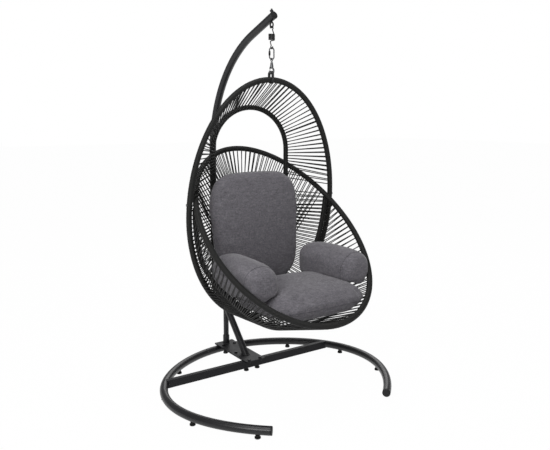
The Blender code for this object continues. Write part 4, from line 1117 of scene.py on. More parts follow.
@dataclass
class Cushions:
    """Four loose cushions, each blown up from a plain pillow as sewn cloth.

    Attributes:
        finishes: The chair's finishes.
        voxel: Width of a face of the plain pillow.
        slack: Share by which the cloth shrinks, less than 0 where it grows.
        frames: Steps of the blowing up.
        cap: The furthest that a point may go from where it began.
        hug: How far the cloth may stand out of its CAD solid on the closed sides.
        swell: How far it may stand out on the open side.
        seam_radius: Radius of the sewn edge.
        pads: The cushions.
    """

    finishes: Finishes
    voxel: float = 0.0078
    slack: float = -0.035
    frames: int = 20
    cap: float = 0.013
    hug: float = 0.0015
    swell: float = 0.018
    seam_radius: float = 0.0019
    pads: tuple[Pad, ...] = (
        Pad("seat_cushion", axes=(0, 1, 2), outline=3.2, crown=2.3, pull=0.010, taper=0.0,
            grow=(0.022, 0.014, -0.004), shift=(0.012, -0.010, -0.008), facing=(0.75, -0.9, 0.9),
            fill=0.75),
        Pad("back_cushion", axes=(0, 2, 1), outline=3.7, crown=2.5, pull=0.0, taper=0.10,
            grow=(0.018, 0.010, 0.012), shift=(-0.010, -0.010, 0.004), facing=(-1.0, -1.0, 0.8),
            fill=0.7, crown_rise=0.07, lean=0.09),
        Pad("bolster_left", axes=(0, 2, 1), outline=2.3, crown=4.2, pull=0.0, taper=0.0,
            grow=(0.002, 0.004, 0.004), shift=(0.0, -0.004, -0.008), facing=(0.5, -0.8, 0.6),
            fill=0.8, seams=(-1.05, 1.05), yaw=math.radians(-3.0)),
        Pad("bolster_right", axes=(0, 2, 1), outline=2.3, crown=4.2, pull=0.0, taper=0.0,
            grow=(0.002, 0.004, 0.004), shift=(0.0, -0.004, -0.008), facing=(-0.5, -0.8, 0.6),
            fill=0.8, seams=(-1.05, 1.05), yaw=math.radians(3.0)),
    )

    def build(self) -> None:
        """Builds the seat, the back and the two arm bolsters."""
        for pad in self.pads:
            low, high = (np.array(corner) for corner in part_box(pad.node))
            centre, half = (low + high) / 2 + np.array(pad.shift), (high - low) / 2 + np.array(pad.grow)
            mesh = self.pillow(pad, centre, half)
            piece = place(mesh, pad.node + "_cloth", Body.EGG, self.finishes.cloth)
            solid = self.cad_tree(pad.node)
            self.keep_inside(piece.data, solid, pad)
            self.blow_up(piece)
            self.keep_inside(piece.data, solid, pad)
            self.relax(piece.data, 2)
            piece.data = self.finished(piece.data, [("SUBSURF", {"levels": 1, "render_levels": 1})])
            piece.data.shade_smooth()
            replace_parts(piece, pad.node)
            self.seam(pad, centre, half, piece)
            LOG.info("%s: %d faces", piece.name, len(piece.data.polygons))

    def outline_point(self, pad: Pad, half: Array, turn: Array, lift: Array) -> Array:
        """Points of the pillow in its own axes.

        A direction (cos l cos t, cos l sin t, sin l) is stretched until
        (|x/a|^p + |y/b|^p)^(q/p) + |z/c|^q = 1; then the sides are drawn in and tapered,
        the foot leans to one side and the top edge rises to its middle.

        Args:
            pad: The cushion.
            half: Half sizes along the model's axes.
            turn: Angles in the plane of length and breadth.
            lift: Angles out of that plane.

        Returns:
            Points about the cushion's middle, in the model's axes.
        """
        sizes = half[list(pad.axes)]
        turn, lift = np.broadcast_arrays(turn, lift)
        way = np.stack([np.cos(lift) * np.cos(turn), np.cos(lift) * np.sin(turn), np.sin(lift)], axis=-1)
        p, q = pad.outline, pad.crown
        flat = (np.abs(way[..., 0] / sizes[0]) ** p + np.abs(way[..., 1] / sizes[1]) ** p) ** (q / p)
        reach = (flat + np.abs(way[..., 2] / sizes[2]) ** q) ** (-1.0 / q)
        local = way * reach[..., None]
        share = local / sizes
        local[..., 0] *= 1.0 - pad.pull * np.cos(0.5 * np.pi * share[..., 1]) ** 2
        local[..., 1] *= 1.0 - pad.pull * np.cos(0.5 * np.pi * share[..., 0]) ** 2
        down = smooth(0.5 - 0.5 * share[..., 1])
        local[..., 0] = local[..., 0] * (1.0 - pad.taper * down) + pad.lean * sizes[0] * down
        local[..., 1] += pad.crown_rise * sizes[1] * np.clip(share[..., 1], 0.0, 1.0) * (
            np.cos(0.5 * np.pi * share[..., 0]) - 0.6)
        points = np.empty_like(local)
        points[..., list(pad.axes)] = local
        cos, sin = math.cos(pad.yaw), math.sin(pad.yaw)
        return points @ np.array([[cos, sin, 0.0], [-sin, cos, 0.0], [0.0, 0.0, 1.0]])

    def pillow(self, pad: Pad, centre: Array, half: Array) -> bpy.types.Mesh:
        """The unsewn pillow as a closed grid of turn by lift.

        Args:
            pad: The cushion.
            centre: Its middle.
            half: Half sizes along the model's axes.

        Returns:
            A closed mesh of even quads, made so by the voxel remesh.
        """
        turn = np.arange(120) * 2.0 * np.pi / 120
        lift = np.linspace(-0.5 * np.pi + 0.02, 0.5 * np.pi - 0.02, 61)
        grid = centre + self.outline_point(pad, half, turn[None], lift[:, None])
        number = np.arange(grid[..., 0].size).reshape(61, 120)
        here, there = number[:-1], number[1:]
        quads = np.stack([here, np.roll(here, -1, 1), np.roll(there, -1, 1), there], axis=-1)
        caps = np.stack([number[0, ::-1], number[-1]])
        mesh = quad_mesh(pad.node + "_cloth", grid.reshape(-1, 3), quads.reshape(-1, 4), caps,
                         np.zeros((quads.size, 2)))
        work = bmesh.new()
        work.from_mesh(mesh)
        bmesh.ops.recalc_face_normals(work, faces=work.faces)
        work.to_mesh(mesh)
        work.free()
        return self.finished(mesh, [("REMESH", {"mode": "VOXEL", "voxel_size": self.voxel})])

    @staticmethod
    def finished(mesh: bpy.types.Mesh, steps: Sequence[tuple[str, dict[str, object]]]) -> bpy.types.Mesh:
        """A mesh after modifiers.

        Args:
            mesh: The mesh before them.
            steps: Modifier kinds and their settings.

        Returns:
            A new mesh.
        """
        holder = bpy.data.objects.new("bench", mesh)
        bpy.context.scene.collection.objects.link(holder)
        for kind, settings in steps:
            modifier = holder.modifiers.new(kind.lower(), kind)
            for key, value in settings.items():
                setattr(modifier, key, value)
        graph = bpy.context.evaluated_depsgraph_get()
        made = bpy.data.meshes.new_from_object(holder.evaluated_get(graph))
        bpy.data.objects.remove(holder, do_unlink=True)
        return made

    @staticmethod
    def corners(mesh: bpy.types.Mesh) -> Array:
        """A mesh's corner places, shape (n, 3).

        Args:
            mesh: The mesh.

        Returns:
            The places.
        """
        flat = np.empty(len(mesh.vertices) * 3, dtype=np.float32)
        mesh.vertices.foreach_get("co", flat)
        return flat.reshape(-1, 3).astype(float)

    def blow_up(self, piece: bpy.types.Object) -> None:
        """Inflates a pillow as slack cloth and holds each point near where it began.

        Args:
            piece: The cushion; its mesh is replaced by the blown-up one.
        """
        start = self.corners(piece.data)
        bench = bpy.data.objects.new("bench", piece.data.copy())
        bpy.context.scene.collection.objects.link(bench)
        cloth = bench.modifiers.new("cloth", "CLOTH")
        cloth.settings.use_pressure = True
        cloth.settings.uniform_pressure_force = 4.0
        cloth.settings.shrink_min = self.slack
        cloth.settings.quality = 5
        cloth.settings.tension_stiffness = 18.0
        cloth.settings.compression_stiffness = 18.0
        cloth.settings.bending_stiffness = 0.35
        cloth.settings.effector_weights.gravity = 0.0
        cloth.point_cache.frame_start = 1
        cloth.point_cache.frame_end = self.frames
        for number in range(1, self.frames + 1):
            bpy.context.scene.frame_set(number)
        graph = bpy.context.evaluated_depsgraph_get()
        blown = bpy.data.meshes.new_from_object(bench.evaluated_get(graph))
        away = self.corners(blown) - start
        length = np.linalg.norm(away, axis=1, keepdims=True)
        held = start + away * np.minimum(1.0, self.cap / np.maximum(length, 1e-9))
        bpy.data.objects.remove(bench, do_unlink=True)
        bpy.context.scene.frame_set(1)
        piece.data.vertices.foreach_set("co", held.astype(np.float32).ravel())
        piece.data.update()

    @staticmethod
    def cad_tree(node: str) -> BVHTree:
        """A search tree of a CAD solid.

        Args:
            node: The CAD node.

        Returns:
            The tree of its faces.
        """
        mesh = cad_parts[node].data
        return BVHTree.FromPolygons([corner.co for corner in mesh.vertices],
                                    [tuple(face.vertices) for face in mesh.polygons])

    def keep_inside(self, mesh: bpy.types.Mesh, solid: BVHTree, pad: Pad) -> None:
        """Pulls what stands out of the CAD solid back to its skin, less on the open side.

        Args:
            mesh: The cushion.
            solid: The CAD solid.
            pad: What faces open.
        """
        points = self.corners(mesh)
        found = [solid.find_nearest(point)[:2] for point in points]
        near = np.array([tuple(place_on) for place_on, _ in found])
        normal = np.array([tuple(way) for _, way in found])
        away = points - near
        free = np.clip(normal @ unit(np.array(pad.facing)), 0.0, 1.0)
        allowed = self.hug + (self.swell - self.hug) * free
        length = np.linalg.norm(away, axis=1)
        outside = (np.sum(away * normal, axis=1) > 0) & (length > allowed)
        points[outside] = near[outside] + away[outside] * (allowed[outside] / length[outside])[:, None]
        mesh.vertices.foreach_set("co", points.astype(np.float32).ravel())
        mesh.update()

    @staticmethod
    def relax(mesh: bpy.types.Mesh, rounds: int) -> None:
        """Evens the corners out a little.

        Args:
            mesh: The mesh, changed in place.
            rounds: How many times.
        """
        work = bmesh.new()
        work.from_mesh(mesh)
        for _ in range(rounds):
            bmesh.ops.smooth_vert(work, verts=work.verts, factor=0.5,
                                  use_axis_x=True, use_axis_y=True, use_axis_z=True)
        work.to_mesh(mesh)
        work.free()

    def seam(self, pad: Pad, centre: Array, half: Array, piece: bpy.types.Object) -> None:
        """A thin sewn edge round the cushion where its two panels meet.

        Args:
            pad: The cushion.
            centre: Its middle.
            half: Its half sizes.
            piece: The finished cushion, on whose skin the edge lies.
        """
        turn = np.arange(320) * 2.0 * np.pi / 320
        mesh = piece.data
        skin = BVHTree.FromPolygons([corner.co for corner in mesh.vertices],
                                    [tuple(face.vertices) for face in mesh.polygons])
        lines = [centre + self.outline_point(pad, half, turn, np.full_like(turn, lift))
                 for lift in pad.seams]
        line = np.array([[tuple(skin.find_nearest(Vector(point))[0]) for point in ring]
                         for ring in lines])
        for _ in range(6):
            line = (np.roll(line, 1, axis=1) + 2 * line + np.roll(line, -1, axis=1)) / 4
        across = np.zeros(3)
        across[pad.axes[2]] = 1.0
        edge = tubes(pad.node + "_seam", line, across, self.seam_radius, 8, closed=True)
        place(edge, pad.node + "_seam", Body.EGG, self.finishes.seam)


# ---------------------------------------------------------------- stand


def route(start: Sequence[float], heading: float, moves: Sequence[Sequence[float]],
          step: float = 0.010) -> Array:
    """Points in the plane x = 0 along lines (length,) and bends (radius, turn).

    A line adds start + s (cos h, sin h); a bend adds the arc round the centre that lies
    radius away at the left of the heading h for a positive turn, at its right otherwise.

    Args:
        start: First point.
        heading: First direction, in radians above +y.
        moves: The lines and bends in order.
        step: Length between points.

    Returns:
        The points, shape (n, 3).
    """
    at = np.array(start, dtype=float)
    runs = [at[None]]
    for move in moves:
        if len(move) == 1:
            reach = np.linspace(0.0, move[0], max(2, int(move[0] / step)) + 1)[1:, None]
            part = at + reach * np.array([0.0, math.cos(heading), math.sin(heading)])
        else:
            radius, turn = move
            side = math.copysign(radius, turn)
            centre = at + side * np.array([0.0, -math.sin(heading), math.cos(heading)])
            angle = heading + np.linspace(0.0, turn, max(4, int(radius * abs(turn) / step)) + 1)[1:]
            spoke = np.stack([0.0 * angle, -np.sin(angle), np.cos(angle)], axis=-1)
            part = centre - side * spoke
            heading += turn
        runs.append(part)
        at = part[-1]
    return np.concatenate(runs)


def eased_ends(path: Array, radius: float, edge: float = 0.0012) -> tuple[Array, Array]:
    """A bar's path and radii with a small rounded edge at both ends.

    Args:
        path: Middle line, shape (n, 3).
        radius: Radius of the bar.
        edge: Length and depth of the rounding.

    Returns:
        The path with a point added near each end, and one radius for each point.
    """
    head = path[0] + unit(path[1] - path[0]) * edge
    tail = path[-1] + unit(path[-2] - path[-1]) * edge
    points = np.concatenate([path[:1], head[None], path[1:-1], tail[None], path[-1:]])
    radii = np.full(len(points), radius)
    radii[[0, -1]] = radius - edge
    return points, radii


@dataclass
class Stand:
    """Base ring, plates, mast, strut and feet.

    Attributes:
        finishes: The chair's finishes.
        ring_radius: Mean radius of the ring's middle line.
        ring_oval: Share of it in the second wave.
        ring_egg: Share of it in the third wave.
        ring_square: Share of it in the fourth wave.
        ring_tube: Radius of the ring's tube.
        foot_height: Height of a foot.
        ring_end: Angle from the front at which the ring ends.
        ring_joint: Angle at which its arcs meet the rear segment.
        mast_radius: Radius of the lower mast tube.
        mast_foot_y: Place of the mast's foot.
        mast_sleeve: How much thicker the upper tube is.
        mast_rise: Slope of the mast's foot.
        mast_low_run: Length of the slanting stretch.
        mast_low_bend: Radius of the lower bend.
        mast_joint_z: Height at which the tubes meet.
        mast_bend_z: Height at which the upper bend begins.
        mast_bend: Radius of the upper bend.
        mast_bend_turn: Angle of the upper bend.
        mast_tip: Length of the straight end.
        plate_top: Level of the foot plate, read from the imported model.
        strut_bar: Radius of the strut.
        strut_collar: Radius of its thicker foot.
        strut_collar_height: Height of that foot.
        strut_y: Place of the strut.
        tube_sides: Corners round a tube.
        plug_dome: Profile of the ring's end plugs past their rim.
        foot_stem: Radius of a foot's stem.
        foot_shape: Profile of a foot below its stem.
        washer_shape: Profile of a washer.
        head_shape: Profile of a bolt's head.
    """

    finishes: Finishes
    ring_radius: float = 0.585
    ring_oval: float = -0.0195
    ring_egg: float = 0.017
    ring_square: float = 0.016
    ring_tube: float = 0.021
    foot_height: float = 0.0172
    ring_end: float = math.radians(37.8)
    ring_joint: float = math.radians(180.0 - 3.0 * (180.0 - 37.8) / 30.0)
    mast_radius: float = 0.019
    mast_foot_y: float = 0.3385 + MIDDLE_Y
    mast_sleeve: float = 0.0012
    mast_rise: float = math.radians(46.0)
    mast_low_run: float = 0.348
    mast_low_bend: float = 0.45
    mast_joint_z: float = 0.93
    mast_bend_z: float = 1.20
    mast_bend: float = 0.70
    mast_bend_turn: float = math.radians(69.5)
    mast_tip: float = 0.2177
    plate_top: float = 0.0
    strut_bar: float = 0.0155
    strut_collar: float = 0.0190
    strut_collar_height: float = 0.050
    strut_y: float = 0.564 + MIDDLE_Y
    tube_sides: int = 32
    plug_dome: Profile = ((0.0202, 0.0050), (0.0185, 0.0058), (0.0140, 0.0062), (0.0060, 0.0063))
    foot_stem: float = 0.0104
    foot_shape: Profile = ((0.0128, 0.0), (0.0142, 0.0014), (0.0142, 0.0072), (0.0130, 0.0084),
                           (0.0096, 0.0088), (0.0092, 0.0100), (0.0104, 0.0106))
    washer_shape: Profile = ((0.0096, 0.0), (0.0100, 0.0004), (0.0100, 0.0012), (0.0096, 0.0015))
    head_shape: Profile = ((0.0092, 0.0015), (0.0092, 0.0056), (0.0086, 0.0064), (0.0072, 0.0068))

    def __post_init__(self) -> None:
        """Reads the plate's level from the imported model."""
        self.plate_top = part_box("mast_foot_plate")[1][2] + GAP

    def ring(self, angle: Array) -> Array:
        """The ring's middle line: a circle with small second, third and fourth waves of radius.

        Args:
            angle: Angles from the front in radians.

        Returns:
            Points at radius R (1 + a cos 2t + b cos 3t + c cos 4t).
        """
        swell = self.ring_oval * np.cos(2 * angle) + self.ring_egg * np.cos(3 * angle)
        radius = self.ring_radius * (1 + swell + self.ring_square * np.cos(4 * angle))
        z = np.full_like(radius, self.foot_height + GAP + self.ring_tube)
        return np.stack([radius * np.sin(angle), MIDDLE_Y - radius * np.cos(angle), z], axis=-1)

    def bar(self, name: str, node: str, path: Array, radius: float,
            across: Sequence[float]) -> bpy.types.Mesh:
        """A painted round tube that stands for a CAD tube.

        Args:
            name: Name of the piece.
            node: The CAD node.
            path: Middle line, shape (n, 3).
            radius: Outer radius.
            across: A direction that the tube never follows.

        Returns:
            The tube's mesh.
        """
        points, radii = eased_ends(path, radius)
        mesh = tubes(name, points[None], np.array(across), radii[None, :, None], self.tube_sides)
        crisp(mesh)
        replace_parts(place(mesh, name, Body.STAND, self.finishes.paint), node)
        return mesh

    def base(self) -> None:
        """The three ring segments, their end plugs and the feet."""
        f = self.finishes
        slack = GAP / self.ring_radius
        for side, name in ((1.0, "right"), (-1.0, "left")):
            angle = np.linspace(self.ring_end, self.ring_joint, 120) * side
            self.bar(f"ring_arc_{name}", f"ring_{name}", self.ring(angle), self.ring_tube, (0, 0, 1))
            tip = self.ring(np.array([self.ring_end, self.ring_end + 0.01]) * side)
            shape = ((self.ring_tube, 0.0003), (self.ring_tube, 0.0035)) + self.plug_dome
            plug = lathe(f"ring_plug_{name}", shape, tip[0], tip[0] - tip[1], self.tube_sides)
            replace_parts(place(plug, f"ring_plug_{name}", Body.STAND, f.plastic),
                        f"ring_cap_{name}")
        rear = np.linspace(self.ring_joint + slack, 2 * math.pi - self.ring_joint - slack, 60)
        self.bar("ring_back", "ring_rear", self.ring(rear), self.ring_tube, (0, 0, 1))
        feet = [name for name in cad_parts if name.startswith("foot_")]
        foot = self.foot_shape + ((self.foot_stem, self.foot_height),)
        for name in feet:
            low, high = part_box(name)
            centre = ((low[0] + high[0]) / 2, (low[1] + high[1]) / 2, 0.0)
            mesh = lathe(name + "_glide", foot, centre, (0, 0, 1), 28)
            crisp(mesh)
            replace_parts(place(mesh, name + "_glide", Body.STAND, f.rubber), name)
        dress(f.plate, "crossbar_left", "crossbar_right", "crossbar_middle")
        dress(f.plate, "base_plate", "mast_foot_plate")
        LOG.info("base: ring in three pieces, %d feet", len(feet))

    def mast(self) -> None:
        """The two mast tubes, the strut and their weld beads."""
        f = self.finishes
        start = (0.0, self.mast_foot_y, self.plate_top)
        low = route(start, self.mast_rise,
                    ((self.mast_low_run,), (self.mast_low_bend, math.pi / 2 - self.mast_rise)))
        top = low[-1]
        lower = np.concatenate([low, [[0.0, top[1], self.mast_joint_z - 0.002]],
                                [[0.0, top[1], self.mast_joint_z]]])
        mesh = self.bar("mast_lower", "mast_low", lower, self.mast_radius, (1, 0, 0))
        self.cut_level(mesh, np.array([0.0, math.cos(self.mast_rise), math.sin(self.mast_rise)]))
        upper = route((0.0, top[1], self.mast_joint_z + GAP), math.pi / 2,
                      ((self.mast_bend_z - self.mast_joint_z - GAP,),
                       (self.mast_bend, self.mast_bend_turn), (self.mast_tip,)))
        self.bar("mast_upper", "mast_high", upper, self.mast_radius + self.mast_sleeve, (1, 0, 0))
        end, before = upper[-1], upper[-2]
        rim = self.mast_radius + self.mast_sleeve + 0.001
        dome = ((rim - 0.0006, 0.0003), (rim, 0.0010), (rim, 0.0036), (rim - 0.0012, 0.0048),
                (0.012, 0.0052), (0.005, 0.0053))
        cap = lathe("mast_plug", dome, end, end - before, self.tube_sides)
        crisp(cap)
        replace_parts(place(cap, "mast_plug", Body.STAND, f.plastic), "mast_cap")
        self.strut()
        self.welds()
        LOG.info("mast: two tubes, strut and weld beads")

    def strut(self) -> None:
        """The upright strut, thicker at its foot, up into the slanting mast."""
        middle = self.plate_top + (self.strut_y - self.mast_foot_y) * math.tan(self.mast_rise)
        r, c, h = self.strut_bar, self.strut_collar, self.strut_collar_height
        shape = ((c, self.plate_top), (c, self.plate_top + h - 0.003),
                 (c - 0.001, self.plate_top + h - 0.001), (c - 0.003, self.plate_top + h),
                 (r, self.plate_top + h + 0.0004), (r, middle - 0.004))
        strut = lathe("strut_tube", shape, (0.0, self.strut_y, 0.0), (0, 0, 1), self.tube_sides)
        crisp(strut)
        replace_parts(place(strut, "strut_tube", Body.STAND, self.finishes.paint), "rear_strut")

    def cut_level(self, mesh: bpy.types.Mesh, heading: Array) -> None:
        """Slides the first two rings of a tube along its heading onto the plate's level.

        The next two rings are only lifted clear of it, so that the cut end stays closed.

        Args:
            mesh: The tube.
            heading: The tube's direction at its foot.
        """
        sides = self.tube_sides
        flat = np.empty(len(mesh.vertices) * 3, dtype=np.float32)
        mesh.vertices.foreach_get("co", flat)
        points = flat.reshape(-1, 3)
        for ring, level in ((0, self.plate_top), (1, self.plate_top + 0.0008)):
            rows = slice(ring * sides, (ring + 1) * sides)
            centre = np.array([0.0, self.mast_foot_y, self.plate_top])
            spoke = points[rows] - centre
            spoke -= heading * (spoke @ heading)[:, None]
            spoke *= self.mast_radius / np.linalg.norm(spoke, axis=1, keepdims=True)
            bare = centre + spoke
            points[rows] = bare + heading * ((level - bare[:, 2]) / heading[2])[:, None]
        low = self.plate_top + 0.0012
        for ring, level in ((2, low), (3, low + 0.0004)):
            rows = slice(ring * sides, (ring + 1) * sides)
            short = np.maximum(level - points[rows, 2], 0.0) / heading[2]
            points[rows] += heading * short[:, None]
        mesh.vertices.foreach_set("co", points.ravel())
        mesh.update()

    def bead(self, name: str, line: Array, radius: float, across: Sequence[float]) -> None:
        """A weld bead along a closed line, its radius rippling by an eighth.

        Args:
            name: Name of the piece.
            line: Closed middle line, shape (n, 3).
            radius: Radius of the bead.
            across: A direction that the line never follows.
        """
        ripple = radius * (1.0 + 0.13 * np.cos(np.arange(len(line)) * 2.0 * np.pi / 4.0))
        mesh = tubes(name, line[None], np.array(across), ripple[None, :, None], 8, closed=True)
        place(mesh, name, Body.STAND, self.finishes.paint)

    def welds(self) -> None:
        """Beads where the mast stands on its plate and where strut and mast meet."""
        turn = np.arange(144) * 2.0 * np.pi / 144
        r = self.mast_radius + 0.0006
        foot = np.stack([r * np.cos(turn), self.mast_foot_y + r * np.sin(turn) / math.sin(self.mast_rise),
                         np.full_like(turn, self.plate_top + 0.0006)], axis=-1)
        self.bead("mast_foot_weld", foot, 0.0030, (0, 0, 1))
        c = self.strut_collar + 0.0004
        ring = np.stack([c * np.cos(turn), self.strut_y + c * np.sin(turn),
                         np.full_like(turn, self.plate_top + 0.0004)], axis=-1)
        self.bead("strut_foot_weld", ring, 0.0024, (0, 0, 1))
        s = self.strut_bar + 0.0004
        x, y = s * np.cos(turn), self.strut_y + s * np.sin(turn)
        under = -np.sqrt(self.mast_radius ** 2 - x ** 2)
        rise = (under + (y - self.mast_foot_y) * math.sin(self.mast_rise)) / math.cos(self.mast_rise)
        top = np.stack([x, y, self.plate_top + rise], axis=-1)
        self.bead("strut_top_weld", top, 0.0021, (0, 0, 1))

    def fasteners(self) -> None:
        """Hex bolts with washers on the plate, and the eye bolt with its nut."""
        f = self.finishes
        for number in range(1, 7):
            low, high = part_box(f"plate_bolt_{number}")
            centre = ((low[0] + high[0]) / 2, (low[1] + high[1]) / 2, self.plate_top)
            washer = lathe("washer", self.washer_shape, centre, (0, 0, 1), 28)
            head = lathe("head", self.head_shape, centre, (0, 0, 1), 6, 0.37 * number)
            mesh = together(f"hex_bolt_{number}", (washer, head))
            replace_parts(place(mesh, f"hex_bolt_{number}", Body.STAND, f.bolt),
                        f"plate_bolt_{number}")
        dress(f.bolt, "mast_screw", "eye_nut")
        LOG.info("fasteners: six hex bolts with washers")

    def build(self) -> None:
        """Builds the stand from the ground up."""
        self.base()
        self.mast()
        self.fasteners()


# ---------------------------------------------------------------- suspension


def arc(centre: Sequence[float], radius: float, first: Sequence[float], second: Sequence[float],
        start: float, end: float, count: int) -> Array:
    """Points centre + r (cos t first + sin t second) for t from start to end in degrees."""
    turn = np.radians(np.linspace(start, end, count))[:, None]
    return np.array(centre) + radius * (np.cos(turn) * np.array(first) + np.sin(turn) * np.array(second))


def raised(shape: Profile, level: float) -> Profile:
    """A profile with a level added to its heights."""
    return tuple((radius, level + height) for radius, height in shape)


def curved(points: Array, steps: int) -> Array:
    """A smooth line through points.

    Between two points it is the Catmull-Rom cubic 0.5 (2 b + (c - a) t + (2 a - 5 b + 4 c - d) t^2
    + (3 b - a - 3 c + d) t^3), with a and d the neighbours outside.

    Args:
        points: Points to pass, shape (n, 3).
        steps: Points made for each stretch.

    Returns:
        The line's points.
    """
    padded = np.concatenate([2 * points[:1] - points[1:2], points, 2 * points[-1:] - points[-2:-1]])
    a, b, c, d = padded[:-3], padded[1:-2], padded[2:-1], padded[3:]
    t = (np.arange(steps) / steps)[None, :, None]
    a, b, c, d = (part[:, None] for part in (a, b, c, d))
    line = 0.5 * (2 * b + (c - a) * t + (2 * a - 5 * b + 4 * c - d) * t ** 2
                  + (3 * b - a - 3 * c + d) * t ** 3)
    return np.concatenate([line.reshape(-1, 3), points[-1:]])


@dataclass
class Suspension:
    """Eye bolt, spring, quick link, swivel, snap hook and loops.

    A name that ends in wire is the wire's radius in the CAD model, from which the pieces'
    places follow; the same name with bar is the radius that is shown.
    """

    finishes: Finishes
    hang_y: float = 0.0655 + MIDDLE_Y
    eye_z: float = 1.886
    eye_radius: float = 0.013
    eye_wire: float = 0.004
    spring_wire: float = 0.0024
    spring_bar: float = 0.0027
    spring_radius: float = 0.0145
    spring_turns: float = 6.0
    spring_top: float = 1.842
    spring_bottom: float = 1.811
    hook_radius: float = 0.0085
    link_z: float = 1.7433
    link_wire: float = 0.003
    link_bar: float = 0.0034
    link_half_width: float = 0.0135
    link_half_height: float = 0.0295
    sleeve_length: float = 0.022
    swivel_wire: float = 0.0025
    swivel_radius: float = 0.008
    snap_bottom: float = 1.6420
    snap_wire: float = 0.0038
    snap_bar: float = 0.0046
    snap_half_width: float = 0.0115
    loop_wire: float = 0.003
    loop_bar: float = 0.0037
    loop_x: float = 0.0040
    hoop_top: float = 0.9477 + 0.6634
    hoop_radius: float = 0.013
    pin_shape: Profile = ((0.0044, -0.0118), (0.0044, -0.0082), (0.0030, -0.0080))
    barrel_shape: Profile = ((0.0034, -0.0085), (0.0034, -0.0004), (0.0040, 0.0), (0.0056, 0.0),
                             (0.0061, -0.0008), (0.0086, -0.0200), (0.0092, -0.0285),
                             (0.0084, -0.0310), (0.0054, -0.0322))

    def hook_top(self) -> float:
        """Height of the spring's upper hook in the eye."""
        return self.eye_z - self.eye_radius + self.eye_wire + self.spring_wire + GAP

    def link_top(self) -> float:
        """Height of the link's upper end."""
        return self.link_z + self.link_half_height

    def hook_bottom(self) -> float:
        """Height of the spring's lower hook."""
        return self.link_top() - self.link_wire - self.spring_wire - GAP

    def swivel_z(self) -> float:
        """Height of the swivel ring's middle."""
        top = self.link_z - self.link_half_height + self.link_wire + self.swivel_wire + GAP
        return top - self.swivel_radius

    def snap_top(self) -> float:
        """Height of the snap hook's barrel."""
        return self.swivel_z() - self.swivel_radius - self.swivel_wire - 0.0015

    def eye(self) -> None:
        """The eye bolt: a round eye under a threaded shank, its ridges 1.5 mm apart."""
        axis = (0.0, self.hang_y, 0.0)
        ring = arc((0.0, self.hang_y, self.eye_z), self.eye_radius, (0, 1, 0), (0, 0, 1), 0.0, 352.5, 48)
        eye = tubes("eye", ring[None], np.array((1, 0, 0)), self.eye_wire, 16, closed=True)
        low, high = self.eye_z + self.eye_radius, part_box("eye_bolt")[1][2]
        heights = np.linspace(low, high - 0.001, 90)
        radii = 0.0047 + 0.0003 * np.cos(2 * np.pi * heights / 0.0015)
        profile = list(zip(radii.tolist(), heights.tolist())) + [(0.0036, high)]
        shank = lathe("shank", profile, axis, (0, 0, 1), 20)
        mesh = together("threaded_eye", (eye, shank))
        piece = place(mesh, "threaded_eye", Body.STAND, self.finishes.black_steel)
        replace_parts(piece, "eye_bolt")

    def spring(self) -> None:
        """The coil spring with a hook at each end, stretched between hanger and link."""
        y, hook = self.hang_y, self.hook_radius
        upper = arc((0, y, self.hook_top() - hook), hook, (1, 0, 0), (0, 0, 1), 200, -60, 27)
        lower = arc((0, y, self.hook_bottom() + hook), hook, (0, 1, 0), (0, 0, 1), 60, -200, 27)
        share = np.linspace(0.0, 1.0, int(self.spring_turns * 28) + 1)
        turn = 2 * np.pi * self.spring_turns * share
        coil = np.stack([self.spring_radius * np.cos(turn), y + self.spring_radius * np.sin(turn),
                         self.spring_top + (self.spring_bottom - self.spring_top) * share], axis=-1)
        inward = self.spring_radius * 0.75
        lead_in = curved(np.array([upper[-1], (inward, y, self.spring_top + 0.006), coil[0]]), 8)
        lead_out = curved(np.array([coil[-1], (0.0, y + inward, self.spring_bottom - 0.006), lower[0]]), 8)
        line = np.concatenate([upper, lead_in[1:-1], coil, lead_out[1:-1], lower])
        along = np.arange(len(line))
        out_of_hook = smooth((along - len(upper) + 3) / 14.0)[:, None]
        into_hook = smooth((along - (len(line) - len(lower)) + 12) / 14.0)[:, None]
        radial = np.stack([line[:, 0], line[:, 1] - y, np.zeros(len(line))], axis=-1)
        round_coil = unit(radial) + [0.0, 0.0, 0.35]
        across = (1 - out_of_hook) * np.array([0.0, 1.0, 0.0]) + out_of_hook * round_coil
        across = (1 - into_hook) * across + into_hook * np.array([1.0, 0.0, 0.0])
        mesh = tubes("coil_spring", line[None], across[None], self.spring_bar, 12)
        mesh.materials.append(self.finishes.black_steel)
        piece = bpy.data.objects.new("coil_spring", mesh)
        bpy.context.scene.collection.objects.link(piece)
        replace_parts(piece, "spring")
        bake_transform(piece)
        LOG.info("spring: %d points", len(line))

    def stadium(self, gap: float) -> Array:
        """The quick link's line: two half circles and two straights, open by gap on its -x side.

        Args:
            gap: Length of the opening, under the sleeve.

        Returns:
            The points from the opening's upper end to its lower one.
        """
        w, tall = self.link_half_width, self.link_half_height - self.link_half_width
        top = arc((0, 0, tall), w, (1, 0, 0), (0, 0, 1), 180, 0, 19)
        foot = arc((0, 0, -tall), w, (1, 0, 0), (0, 0, 1), 0, -180, 19)
        ends = np.array([[-w, 0, gap / 2]]), np.array([[-w, 0, -gap / 2]])
        return np.concatenate([ends[0], top, foot, ends[1]]) + np.array([0.0, self.hang_y, self.link_z])

